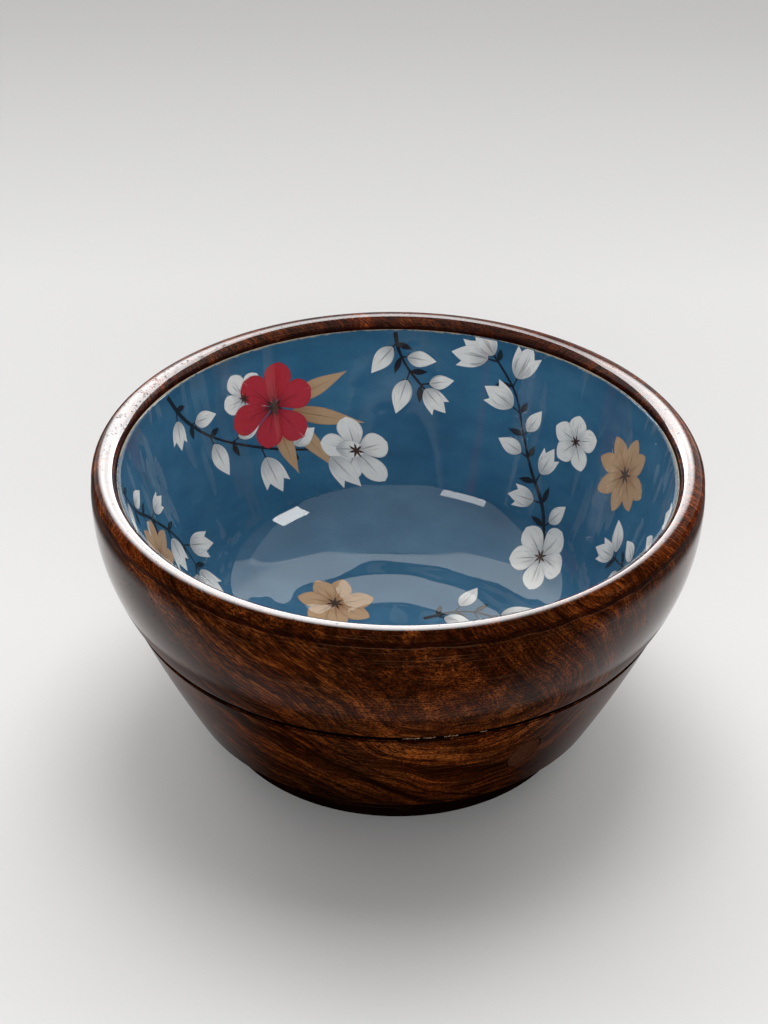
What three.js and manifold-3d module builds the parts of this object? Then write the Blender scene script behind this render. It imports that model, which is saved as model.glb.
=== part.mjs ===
// Wooden salad bowl: two turned sections glued one on the other, on a turned foot ring, lined inside with a
// printed sheet under a clear coat. An oval patch is let into the lower wall.
// Millimetres, +Z up. The origin is on the bowl's axis, at the level that the foot stands on.
import * as THREE from "three";
import { mergeVertices } from "three/addons/utils/BufferGeometryUtils.js";
import Module from "manifold-3d";

const wasm = await Module();
wasm.setup();

// Overall sizes
const WIDEST_RADIUS = 125;
const WIDEST_BELOW_RIM = 13.1;
const TOTAL_HEIGHT = 127.6;

// Rim: a full round between the outer wall and the lined inside
const RIM_THICKNESS = 10;

// Outer wall of the upper section, an arc about a centre level with its widest part
const UPPER_WALL_ARC = 86.3;
const LIP_ROUNDING = 1.3;

// Seam between the two sections, seen from outside: a lip, a dark gap, a bevel and a fine line
const SEAM_HEIGHT = 70.8;
const SEAM_STEP = 0.9;
const SEAM_GAP = 0.8;
const SEAM_DEPTH = 2.6;
const BEVEL_WIDTH = 1.1;
const BEVEL_HEIGHT = 1.4;
const FINE_LINE_WIDTH = 0.5;
const FINE_LINE_DEPTH = 0.5;

// Tongue of the lower section, inside the upper one's rebate, set in from the lip
const TONGUE_SET_IN = 9;
const TONGUE_HEIGHT = 8;
const GLUE_GAP = 0.3;

// Outer wall of the lower section
const LOWER_EDGE_RADIUS = 88.7;
const LOWER_EDGE_ROUNDING = 1.2;
const LOWER_WALL_ARC = 600;

// Foot ring, set in under the lower section, and its tongue in the groove above it
const FOOT_HEIGHT = 16.5;
const FOOT_SET_IN = 8.8;
const FOOT_TAPER = 3.1;
const FOOT_WIDTH = 12;
const FOOT_EDGE_BEVEL = 1;
const FOOT_TONGUE_WIDTH = 6;
const FOOT_TONGUE_HEIGHT = 4;

// Inside, on the clear coat's face: a level floor, a low slope round it, a dish arc, a corner arc and a wall arc
const WOOD_FLOOR_THICKNESS = 11.8;
const LEVEL_RADIUS = 30;
const SLOPE_WIDTH = 20;
const SLOPE_ANGLE = 9.2;
const DISH_ARC = 155;
const CORNER_ARC = 33.5;
const WALL_ARC = 345;
const WALL_LEAN = 14.3;

// Layers on the inside
const RESIN_ON_WALL = 1;
const RESIN_ON_FLOOR = 2.2;
const SHEET_THICKNESS = 0.4;
const SHEET_BELOW_RIM = 5.3;
const RESIN_OVER_SHEET = 0.3;

// Oval patch in the lower wall
const PATCH_AZIMUTH = -60;
const PATCH_BELOW_SEAM = 26.2;
const PATCH_WIDTH = 12;
const PATCH_LENGTH = 20;
const PATCH_TILT = 12;
const PATCH_DEPTH = 7;

// Fineness of the meshes
const TURN_STEPS = 60;
const PATCH_STEPS = 24;
const OUTER_WALL_STEPS = 7;
const INSIDE_WALL_STEPS = 6;
const CORNER_STEPS = 5;
const DISH_STEPS = 3;
const RIM_STEPS = 8;
const EDGE_STEPS = 3;

const material = (color, roughness, metalness = 0) =>
  new THREE.MeshStandardMaterial({ color, roughness, metalness });

const darkWood = material(0x4a2414, 0.3);
const lowerWood = material(0x46220f, 0.3);
const footWood = material(0x24120b, 0.45);
const patchWood = material(0x3e2417, 0.35);
const printedSheet = material(0x2a5a80, 0.6);
const clearCoat = material(0xe4ecf2, 0.05);

// Points at even steps on an arc, both ends included, in the (radius, height) plane. Angles in radians.
function arc(centre, size, from, to, steps) {
  const points = [];
  for (let i = 0; i <= steps; i++) {
    const angle = from + ((to - from) * i) / steps;
    points.push([centre[0] + size * Math.cos(angle), centre[1] + size * Math.sin(angle)]);
  }
  return points;
}

const direction = (from, to) => Math.atan2(to[1] - from[1], to[0] - from[0]);

// Radius of a circle's outer side at a height
const circleRadius = (centre, size, height) => centre[0] + Math.sqrt(size ** 2 - (height - centre[1]) ** 2);

// The two circles' lower crossing, which is the centre of an arc tangent to both
function lowerCrossing(a, radiusA, b, radiusB) {
  const dx = b[0] - a[0];
  const dy = b[1] - a[1];
  const apart = Math.hypot(dx, dy);
  const along = (radiusA ** 2 - radiusB ** 2 + apart ** 2) / (2 * apart);
  const aside = Math.sqrt(radiusA ** 2 - along ** 2);
  const foot = [a[0] + (dx * along) / apart, a[1] + (dy * along) / apart];
  const crossings = [1, -1].map((side) => [
    foot[0] - (side * dy * aside) / apart,
    foot[1] + (side * dx * aside) / apart,
  ]);
  return crossings[0][1] < crossings[1][1] ? crossings[0] : crossings[1];
}

// An outer wall's arc with its bottom edge rounded: up from the underside to a top height
function roundedWall(centre, size, rounding, bottom, top) {
  const edgeHeight = bottom + rounding;
  const edgeCentre = [circleRadius(centre, size - rounding, edgeHeight), edgeHeight];
  const meeting = direction(centre, edgeCentre);
  return [
    ...arc(edgeCentre, rounding, -Math.PI / 2, meeting, EDGE_STEPS),
    ...arc(centre, size, meeting, Math.asin((top - centre[1]) / size), OUTER_WALL_STEPS).slice(1),
  ];
}

// A turned solid from a profile of (radius, height) points, which ends on the axis or closes on itself
function turned(profile) {
  const points = profile.map(([radius, height]) => new THREE.Vector2(Math.max(radius, 0), height));
  if (profile[0][0] > 0) points.push(points[0].clone());
  const geometry = new THREE.LatheGeometry(points, TURN_STEPS);
  geometry.rotateX(Math.PI / 2);
  return geometry;
}

function toManifold(geometry) {
  const bare = geometry.clone();
  for (const name of ["normal", "uv"]) {
    if (bare.getAttribute(name)) bare.deleteAttribute(name);
  }
  const merged = mergeVertices(bare, 1e-4);
  return new wasm.Manifold(new wasm.Mesh({
    numProp: 3,
    vertProperties: new Float32Array(merged.getAttribute("position").array),
    triVerts: new Uint32Array(merged.index.array),
  }));
}

function toGeometry(solid) {
  const mesh = solid.getMesh();
  const geometry = new THREE.BufferGeometry();
  geometry.setAttribute("position", new THREE.BufferAttribute(mesh.vertProperties, 3));
  geometry.setIndex(new THREE.BufferAttribute(mesh.triVerts, 1));
  geometry.computeVertexNormals();
  return geometry;
}

// Set-backs of each face behind the clear coat's face, on the wall and on the floor
const resinFace = [0, 0];
const resinBack = [RESIN_ON_WALL, RESIN_ON_FLOOR];
const sheetFace = resinBack.map((depth) => depth + GLUE_GAP);
const sheetBack = sheetFace.map((depth) => depth + SHEET_THICKNESS);
const woodFace = sheetBack.map((depth) => depth + GLUE_GAP);

// Outer wall of the upper section, and the rim's round on top of it
const upperCentre = [WIDEST_RADIUS - UPPER_WALL_ARC, TOTAL_HEIGHT - WIDEST_BELOW_RIM];
const lipRadius = circleRadius(upperCentre, UPPER_WALL_ARC, SEAM_HEIGHT);
const rimRound = RIM_THICKNESS / 2;
const rimHeight = TOTAL_HEIGHT - rimRound;
const rimInner = circleRadius(upperCentre, UPPER_WALL_ARC, rimHeight) - RIM_THICKNESS;

// Seam and tongue
const shoulder = SEAM_HEIGHT - SEAM_GAP;
const tongueTop = shoulder + TONGUE_HEIGHT;
const tongueRadius = lipRadius - TONGUE_SET_IN;

// Foot and its tongue
const footTop = LOWER_EDGE_RADIUS - FOOT_SET_IN;
const footFloor = footTop - FOOT_TAPER;
const footInner = footFloor - FOOT_WIDTH;
const footTongue = (footTop + footInner) / 2;

// Circles of the inside: the wood's wall meets the rim's round at its inner end
const lean = THREE.MathUtils.degToRad(WALL_LEAN);
const wallCentre = [
  rimInner - woodFace[0] - WALL_ARC * Math.cos(lean),
  rimHeight + WALL_ARC * Math.sin(lean),
];

// Floor: the slope's outer edge, where the dish arc takes over at the same angle
const floorHeight = FOOT_HEIGHT + WOOD_FLOOR_THICKNESS + woodFace[1];
const slope = THREE.MathUtils.degToRad(SLOPE_ANGLE);
const slopeEdge = [LEVEL_RADIUS + SLOPE_WIDTH, floorHeight + SLOPE_WIDTH * Math.tan(slope)];
const dishCentre = [slopeEdge[0] - DISH_ARC * Math.sin(slope), slopeEdge[1] + DISH_ARC * Math.cos(slope)];

// The inside wall between two heights, upwards
function insideWall([wallBack], from, to) {
  const size = WALL_ARC + wallBack;
  const angle = (height) => Math.asin((height - wallCentre[1]) / size);
  return arc(wallCentre, size, angle(from), angle(to), INSIDE_WALL_STEPS);
}

// The whole inside, from the axis outwards and up to a height
function insideProfile([wallBack, floorBack], top) {
  const dishSize = DISH_ARC + floorBack;
  const cornerSize = CORNER_ARC + wallBack;
  const wallSize = WALL_ARC + wallBack;
  const cornerCentre = lowerCrossing(dishCentre, dishSize - cornerSize, wallCentre, wallSize - cornerSize);
  const dishEnd = direction(dishCentre, cornerCentre);
  const corner = arc(cornerCentre, cornerSize, dishEnd, direction(wallCentre, cornerCentre), CORNER_STEPS);
  return [
    [0, floorHeight - floorBack],
    [LEVEL_RADIUS + floorBack * Math.tan(slope / 2), floorHeight - floorBack],
    ...arc(dishCentre, dishSize, slope - Math.PI / 2, dishEnd, DISH_STEPS),
    ...corner.slice(1),
    ...insideWall([wallBack], corner[CORNER_STEPS][1], top).slice(1),
  ];
}

// Upper section: the ring from the seam to the rim, with the rebate for the tongue
function upperRing() {
  const rebateTop = tongueTop + GLUE_GAP;
  const rebateWall = tongueRadius + GLUE_GAP;
  const grooveRadius = lipRadius - SEAM_STEP - SEAM_DEPTH;
  return turned([
    ...roundedWall(upperCentre, UPPER_WALL_ARC, LIP_ROUNDING, SEAM_HEIGHT, rimHeight),
    ...arc([rimInner + rimRound, rimHeight], rimRound, 0, Math.PI, RIM_STEPS).slice(1),
    ...insideWall(woodFace, rebateTop, rimHeight).reverse().slice(1),
    [rebateWall, rebateTop],
    [rebateWall, shoulder],
    [grooveRadius, shoulder],
    [grooveRadius, SEAM_HEIGHT],
  ]);
}

// Lower section's outer wall, from its bottom edge up over the fine line and the bevel to the shoulder
function lowerWall() {
  const radius = lipRadius - SEAM_STEP;
  const lineBottom = shoulder - BEVEL_HEIGHT - FINE_LINE_WIDTH;
  const rise = lineBottom - FOOT_HEIGHT;
  const flare = radius - LOWER_EDGE_RADIUS;
  const chord = Math.hypot(flare, rise);
  const back = Math.sqrt(LOWER_WALL_ARC ** 2 - (chord / 2) ** 2) / chord;
  const centre = [
    (radius + LOWER_EDGE_RADIUS) / 2 - back * rise,
    (lineBottom + FOOT_HEIGHT) / 2 + back * flare,
  ];
  return [
    ...roundedWall(centre, LOWER_WALL_ARC, LOWER_EDGE_ROUNDING, FOOT_HEIGHT, lineBottom),
    [radius - FINE_LINE_DEPTH, lineBottom + FINE_LINE_WIDTH / 2],
    [radius, lineBottom + FINE_LINE_WIDTH],
    [radius - BEVEL_WIDTH, shoulder],
  ];
}

// Lower section before the patch's hole is cut: wall, floor, tongue and the foot's groove
function lowerBody() {
  const grooveIn = footTongue - FOOT_TONGUE_WIDTH / 2 - GLUE_GAP;
  const grooveOut = footTongue + FOOT_TONGUE_WIDTH / 2 + GLUE_GAP;
  const grooveTop = FOOT_HEIGHT + FOOT_TONGUE_HEIGHT + GLUE_GAP;
  return turned([
    [0, FOOT_HEIGHT],
    [grooveIn, FOOT_HEIGHT],
    [grooveIn, grooveTop],
    [grooveOut, grooveTop],
    [grooveOut, FOOT_HEIGHT],
    ...lowerWall(),
    [tongueRadius, shoulder],
    [tongueRadius, tongueTop],
    ...insideProfile(woodFace, tongueTop).reverse(),
  ]);
}

// Foot ring with its tongue, which stands up into the groove under the lower section
function footRing() {
  const tongueIn = footTongue - FOOT_TONGUE_WIDTH / 2;
  const tongueOut = footTongue + FOOT_TONGUE_WIDTH / 2;
  const top = FOOT_HEIGHT + FOOT_TONGUE_HEIGHT;
  return turned([
    [footInner + FOOT_EDGE_BEVEL, 0],
    [footFloor - FOOT_EDGE_BEVEL, 0],
    [footFloor, FOOT_EDGE_BEVEL],
    [footTop, FOOT_HEIGHT],
    [tongueOut, FOOT_HEIGHT],
    [tongueOut, top],
    [tongueIn, top],
    [tongueIn, FOOT_HEIGHT],
    [footInner, FOOT_HEIGHT],
    [footInner, FOOT_EDGE_BEVEL],
  ]);
}

// A layer on the inside between two set-backs, open to the sky and cut level at its top
function insideLayer(face, back, top) {
  return turned([...insideProfile(back, top), ...insideProfile(face, top).reverse()]);
}

// Oval cutter that stands square to the lower wall at the patch, grown all round by a clearance
function patchCutter(clearance) {
  const outline = new THREE.Shape();
  outline.absellipse(0, 0, PATCH_WIDTH / 2 + clearance, PATCH_LENGTH / 2 + clearance, 0, Math.PI * 2);
  const reach = PATCH_DEPTH + clearance;
  const geometry = new THREE.ExtrudeGeometry(outline, {
    depth: reach + PATCH_WIDTH,
    bevelEnabled: false,
    curveSegments: PATCH_STEPS,
  });
  const height = SEAM_HEIGHT - PATCH_BELOW_SEAM;
  const wall = lowerWall();
  const above = wall.findIndex((point) => point[1] > height);
  const [low, high] = [wall[above - 1], wall[above]];
  const widening = (high[0] - low[0]) / (high[1] - low[1]);
  const flare = Math.atan(widening);
  const outward = new THREE.Vector3(Math.cos(flare), 0, -Math.sin(flare));
  const upSlope = new THREE.Vector3(Math.sin(flare), 0, Math.cos(flare));
  const across = new THREE.Vector3().crossVectors(upSlope, outward);
  const place = new THREE.Vector3(low[0] + widening * (height - low[1]), 0, height);
  const stand = new THREE.Matrix4().makeBasis(across, upSlope, outward);
  stand.setPosition(place.addScaledVector(outward, -reach));
  geometry.rotateZ(THREE.MathUtils.degToRad(-PATCH_TILT));
  geometry.applyMatrix4(stand);
  geometry.rotateZ(THREE.MathUtils.degToRad(PATCH_AZIMUTH));
  return toManifold(geometry);
}

const bowl = new THREE.Group();
bowl.name = "salad_bowl";

function add(name, geometry, finish) {
  const mesh = new THREE.Mesh(geometry, finish);
  mesh.name = name;
  bowl.add(mesh);
}

const lowerSolid = toManifold(lowerBody());
const sheetTop = TOTAL_HEIGHT - SHEET_BELOW_RIM;

add("upper_ring", upperRing(), darkWood);
add("lower_bowl", toGeometry(lowerSolid.subtract(patchCutter(GLUE_GAP))), lowerWood);
add("foot_ring", footRing(), footWood);
add("side_plug", toGeometry(lowerSolid.intersect(patchCutter(0))), patchWood);
add("printed_lining", insideLayer(sheetFace, sheetBack, sheetTop), printedSheet);
add("clear_resin_liner", insideLayer(resinFace, resinBack, sheetTop + RESIN_OVER_SHEET), clearCoat);

export default bowl;
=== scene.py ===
"""Visual model of a turned wooden salad bowl, dressed round its packed construction.

Metres, +Z up, in the construction's own frame. The two wooden sections, the foot and the patch are
turned or cut as fine meshes, the lining carries a printed trailing-blossom design under a clear coat,
and a plain studio stands round it. The materials and the drawing areas work in millimetres.
"""
from __future__ import annotations

import logging
import math
from dataclasses import dataclass
from enum import Enum
from functools import cached_property, partial
from typing import Iterable, Sequence, Union

import bmesh
import bpy
from mathutils import Matrix, Vector, noise


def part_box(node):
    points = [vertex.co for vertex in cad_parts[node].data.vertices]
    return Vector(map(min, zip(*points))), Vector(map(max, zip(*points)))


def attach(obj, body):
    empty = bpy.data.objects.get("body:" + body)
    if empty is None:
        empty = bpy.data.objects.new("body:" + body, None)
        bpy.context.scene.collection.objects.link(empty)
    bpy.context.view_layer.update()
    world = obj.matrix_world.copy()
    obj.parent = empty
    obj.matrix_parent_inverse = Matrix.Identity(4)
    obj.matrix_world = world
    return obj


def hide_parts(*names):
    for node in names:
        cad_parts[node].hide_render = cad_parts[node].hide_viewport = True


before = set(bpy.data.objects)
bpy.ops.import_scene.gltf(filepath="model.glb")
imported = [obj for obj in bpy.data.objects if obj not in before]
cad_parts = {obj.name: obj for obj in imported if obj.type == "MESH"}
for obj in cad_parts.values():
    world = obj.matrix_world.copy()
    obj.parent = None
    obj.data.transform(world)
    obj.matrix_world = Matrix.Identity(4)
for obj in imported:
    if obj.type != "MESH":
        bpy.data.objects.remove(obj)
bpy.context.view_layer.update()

MM = 0.001
TINY = 1e-12
BODY = "root"
COAT = "clear_coat_poured"
RIM = "upper_ring_turned"
LOG = logging.getLogger("salad_bowl")

Colour = tuple[float, float, float]
Point2 = tuple[float, float]
Stops = Sequence[tuple[float, Colour]]


class Field:
    """A shader value: one node output that takes part in arithmetic and grows Math nodes as it does."""

    def __init__(self, graph: Graph, socket: bpy.types.NodeSocket) -> None:
        """Keeps the output and the graph that it belongs to."""
        self.graph = graph
        self.socket = socket

    def __add__(self, other: Feed) -> Field:
        """This value plus another."""
        return self.graph.maths("ADD", self, other)

    def __radd__(self, other: Feed) -> Field:
        """A number plus this value."""
        return self.graph.maths("ADD", other, self)

    def __sub__(self, other: Feed) -> Field:
        """This value less another."""
        return self.graph.maths("SUBTRACT", self, other)

    def __rsub__(self, other: Feed) -> Field:
        """A number less this value."""
        return self.graph.maths("SUBTRACT", other, self)

    def __mul__(self, other: Feed) -> Field:
        """This value times another."""
        return self.graph.maths("MULTIPLY", self, other)

    def __rmul__(self, other: Feed) -> Field:
        """A number times this value."""
        return self.graph.maths("MULTIPLY", other, self)

    def __truediv__(self, other: Feed) -> Field:
        """This value divided by another."""
        return self.graph.maths("DIVIDE", self, other)

    def __rtruediv__(self, other: Feed) -> Field:
        """A number divided by this value."""
        return self.graph.maths("DIVIDE", other, self)

    def __pow__(self, other: Feed) -> Field:
        """This value to a power."""
        return self.graph.maths("POWER", self, other)

    def __rpow__(self, other: Feed) -> Field:
        """A number to the power of this value."""
        return self.graph.maths("POWER", other, self)


Feed = Union[Field, float, Sequence[float]]


class Graph:
    """A node tree that is built from expressions."""

    def __init__(self, tree: bpy.types.NodeTree) -> None:
        """Empties the material's or world's node tree and keeps it."""
        self.tree = tree
        self.tree.nodes.clear()

    def node(self, kind: str, settings: dict[str, object],
             inputs: dict[Union[str, int], Feed]) -> bpy.types.Node:
        """Adds a node.

        Args:
            kind: the node's type name.
            settings: its properties, set first; "stops" are a ramp's (place, colour) pairs.
            inputs: a value or a field for each named or numbered input.

        Returns:
            The new node.
        """
        made = self.tree.nodes.new(kind)
        for name, value in settings.items():
            if name == "stops":
                self._set_stops(made.color_ramp, value)
            else:
                setattr(made, name, value)
        for key, value in inputs.items():
            socket = made.inputs[key] if isinstance(key, int) else self._find(made.inputs, key)
            if isinstance(value, Field):
                self.tree.links.new(value.socket, socket)
            else:
                socket.default_value = value
        return made

    @staticmethod
    def _set_stops(ramp: bpy.types.ColorRamp, stops: Stops) -> None:
        """Gives a colour ramp its stops.

        Args:
            ramp: a new ramp, with two stops of its own.
            stops: the place and colour of each stop.
        """
        while len(ramp.elements) < len(stops):
            ramp.elements.new(1.0)
        for element, (place, colour) in zip(ramp.elements, stops):
            element.position = place
            element.color = (*colour, 1.0)

    @staticmethod
    def _find(sockets: Iterable[bpy.types.NodeSocket], key: str) -> bpy.types.NodeSocket:
        """The socket with that identifier, or else with that name."""
        by_identifier = [socket for socket in sockets if socket.identifier == key]
        return (by_identifier or [socket for socket in sockets if socket.name == key])[0]

    def out(self, made: bpy.types.Node, key: Union[str, int] = 0) -> Field:
        """One output of a node as a field."""
        return Field(self, made.outputs[key] if isinstance(key, int) else self._find(made.outputs, key))

    def maths(self, operation: str, *values: Feed) -> Field:
        """A Math node on one to three values."""
        return self.out(self.node("ShaderNodeMath", {"operation": operation}, dict(enumerate(values))))

    def vector(self, operation: str, *values: Feed, scale: float | None = None) -> Field:
        """A Vector Math node; a dot product comes out as a number.

        Args:
            operation: the node's operation.
            values: its vectors.
            scale: the factor of a SCALE.

        Returns:
            The result as a field.
        """
        inputs: dict[Union[str, int], Feed] = dict(enumerate(values))
        if scale is not None:
            inputs["Scale"] = scale
        made = self.node("ShaderNodeVectorMath", {"operation": operation}, inputs)
        return self.out(made, "Value" if operation == "DOT_PRODUCT" else "Vector")

    def combine(self, x: Feed, y: Feed, z: Feed) -> Field:
        """A vector from three values."""
        return self.out(self.node("ShaderNodeCombineXYZ", {}, {0: x, 1: y, 2: z}))

    def separate(self, value: Field) -> tuple[Field, Field, Field]:
        """The three values of a vector."""
        made = self.node("ShaderNodeSeparateXYZ", {}, {0: value})
        return self.out(made, 0), self.out(made, 1), self.out(made, 2)

    def blend(self, amount: Feed, first: Feed, second: Feed, mode: str = "MIX") -> Field:
        """A colour between two, or worked out of two by another blend mode.

        Args:
            amount: the second colour's share, from 0 to 1.
            first: the colour below.
            second: the colour on top.
            mode: the blend mode.

        Returns:
            The colour as a field.
        """
        settings = {"data_type": "RGBA", "blend_type": mode, "clamp_factor": True}
        inputs = {"Factor_Float": amount, "A_Color": _rgba(first), "B_Color": _rgba(second)}
        return self.out(self.node("ShaderNodeMix", settings, inputs), "Result_Color")

    def ramp(self, amount: Field, stops: Stops) -> Field:
        """A colour ramp."""
        return self.out(self.node("ShaderNodeValToRGB", {"stops": stops}, {0: amount}))

    def smooth(self, value: Feed, low: float, high: float, start: float = 0.0, end: float = 1.0) -> Field:
        """Goes smoothly from start to end as the value goes from low to high."""
        inputs = {0: value, 1: low, 2: high, 3: start, 4: end}
        return self.out(self.node("ShaderNodeMapRange", {"interpolation_type": "SMOOTHSTEP"}, inputs))

    def band(self, value: Field, outer: float, inner: float, start: float = 0.0, end: float = 1.0) -> Field:
        """Goes smoothly from start to end as the value comes from outer to inner on either side of 0."""
        return self.smooth(self.maths("ABSOLUTE", value), outer, inner, start, end)

    def noise(self, place: Feed, scale: float = 1.0, detail: float = 3.0, rough: float = 0.5,
              stretch: Sequence[float] | None = None, extra: Feed | None = None) -> Field:
        """A noise texture's value, from 0 to 1.

        Args:
            place: where it is read.
            scale: how many of its cells lie on a millimetre.
            detail: how many finer layers it has.
            rough: how strong the finer layers are.
            stretch: factors on the three values of the place.
            extra: a fourth coordinate.

        Returns:
            The value as a field.
        """
        if stretch is not None:
            place = self.vector("MULTIPLY", place, stretch)
        inputs: dict[Union[str, int], Feed] = {
            "Vector": place, "Scale": scale, "Detail": detail, "Roughness": rough,
        }
        if extra is not None:
            inputs["W"] = extra
        settings = {"noise_dimensions": "3D" if extra is None else "4D"}
        return self.out(self.node("ShaderNodeTexNoise", settings, inputs))

    def sway(self, place: Field, cell: float, reach: float) -> Field:
        """A vector that sways smoothly from place to place.

        Args:
            place: where it is read.
            cell: how far apart its turns lie.
            reach: how far it sways to each side.

        Returns:
            The vector as a field.
        """
        inputs = {"Vector": place, "Scale": 1 / cell, "Detail": 2.0, "Roughness": 0.5}
        made = self.node("ShaderNodeTexNoise", {"noise_dimensions": "3D"}, inputs)
        centred = self.vector("SUBTRACT", self.out(made, "Color"), (0.5, 0.5, 0.5))
        return self.vector("SCALE", centred, scale=2 * reach)

    def place_mm(self) -> Field:
        """The place on the bowl in millimetres."""
        made = self.node("ShaderNodeTexCoord", {}, {})
        return self.vector("SCALE", self.out(made, "Object"), scale=1 / MM)

    def surface(self, colour: Field, roughness: Feed, **sockets: Feed) -> None:
        """Ends the tree in a Principled shader.

        Args:
            colour: its base colour.
            roughness: its roughness.
            sockets: its other inputs, with underscores in place of blanks.
        """
        inputs = {"Base Color": colour, "Roughness": roughness}
        inputs.update({name.replace("_", " "): value for name, value in sockets.items()})
        self.finish(self.node("ShaderNodeBsdfPrincipled", {}, inputs))

    def finish(self, shader: bpy.types.Node, kind: str = "ShaderNodeOutputMaterial") -> None:
        """Links a shader to the output."""
        self.node(kind, {}, {"Surface": self.out(shader)})


def _rgba(value: Feed) -> Feed:
    """A plain colour with its fourth number, or a field as it is."""
    return value if isinstance(value, Field) else (*value, 1.0)


def new_material(name: str) -> tuple[bpy.types.Material, Graph]:
    """A material and its empty graph.

    Args:
        name: the material's name.

    Returns:
        The material and the graph of its node tree.
    """
    made = bpy.data.materials.new(name)
    made.use_nodes = True
    return made, Graph(made.node_tree)


@dataclass(frozen=True)
class LogGrain:
    """How the growth layers of the log lie in the bowl, in millimetres."""

    pith: tuple[float, float, float] = (-2.0, -113.0, 112.0)
    lengthways: tuple[float, float, float] = (0.80, -0.26, -0.54)
    slow_cell: float = 52.0
    slow_bend: float = 16.0
    quick_cell: float = 12.0
    quick_bend: float = 1.3
    broad_band: float = 7.5
    broad_length: float = 170.0
    broad_width: float = 60.0
    fine_band: float = 1.4
    fine_length: float = 60.0
    fine_width: float = 24.0
    line_spacing: float = 5.2
    thin_line_spacing: float = 1.5

    def axes(self) -> tuple[Vector, Vector, Vector]:
        """The log's length and two directions square to it.

        Returns:
            The three directions.
        """
        along = Vector(self.lengthways).normalized()
        across = along.cross(Vector((0.0, 0.0, 1.0))).normalized()
        return along, across, along.cross(across)


@dataclass(frozen=True)
class WoodTints:
    """The wood's own colours, those that marks lay over it, and the painted shade and painted light on the
    rim, the seam and the lower wall.
    """

    figure: tuple[tuple[float, Colour], ...] = (
        (0.0, (0.006, 0.0013, 0.0004)),
        (0.28, (0.020, 0.0048, 0.0012)),
        (0.50, (0.046, 0.0108, 0.0025)),
        (0.72, (0.118, 0.0318, 0.0066)),
        (0.95, (0.240, 0.076, 0.0165)),
    )
    warm_patch: Colour = (1.45, 1.14, 0.85)
    # painted light: brightens the rim's top
    painted_rim_light: Colour = (1.75, 1.45, 1.3)
    pore: Colour = (0.006, 0.0025, 0.0012)
    fleck: Colour = (0.34, 0.15, 0.06)
    light_mark: Colour = (0.30, 0.15, 0.07)
    dark_mark: Colour = (0.006, 0.002, 0.001)
    pit: Colour = (0.008, 0.004, 0.003)
    # painted shade: the near black of the seam's groove and fine line
    gap: Colour = (0.002, 0.001, 0.001)
    # painted shade: the dark band under the rim
    painted_edge_shade: Colour = (0.006, 0.0014, 0.0008)
    # painted highlight: the thin light line along the lacquer's wavy edge
    painted_edge_highlight: Colour = (0.26, 0.13, 0.08)
    vein: Colour = (0.004, 0.0012, 0.0006)
    # painted shade: darkens the wall near the foot
    painted_underside_shade: Colour = (0.003, 0.001, 0.0005)


@dataclass(frozen=True)
class WoodSpot:
    """Where a shaded point lies on the bowl and in the log, in millimetres."""

    place: Field
    x: Field
    y: Field
    height: Field
    radius: Field
    along: Field
    across: Field
    aside: Field
    reach: Field
    straight: Field


@dataclass(frozen=True)
class Figure:
    """What the log's growth shows at a point: its tone, pores, fibres, mottle and pits."""

    tone: Field
    pores: Field
    fibres: Field
    mottle: Field
    pits: Field


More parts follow.
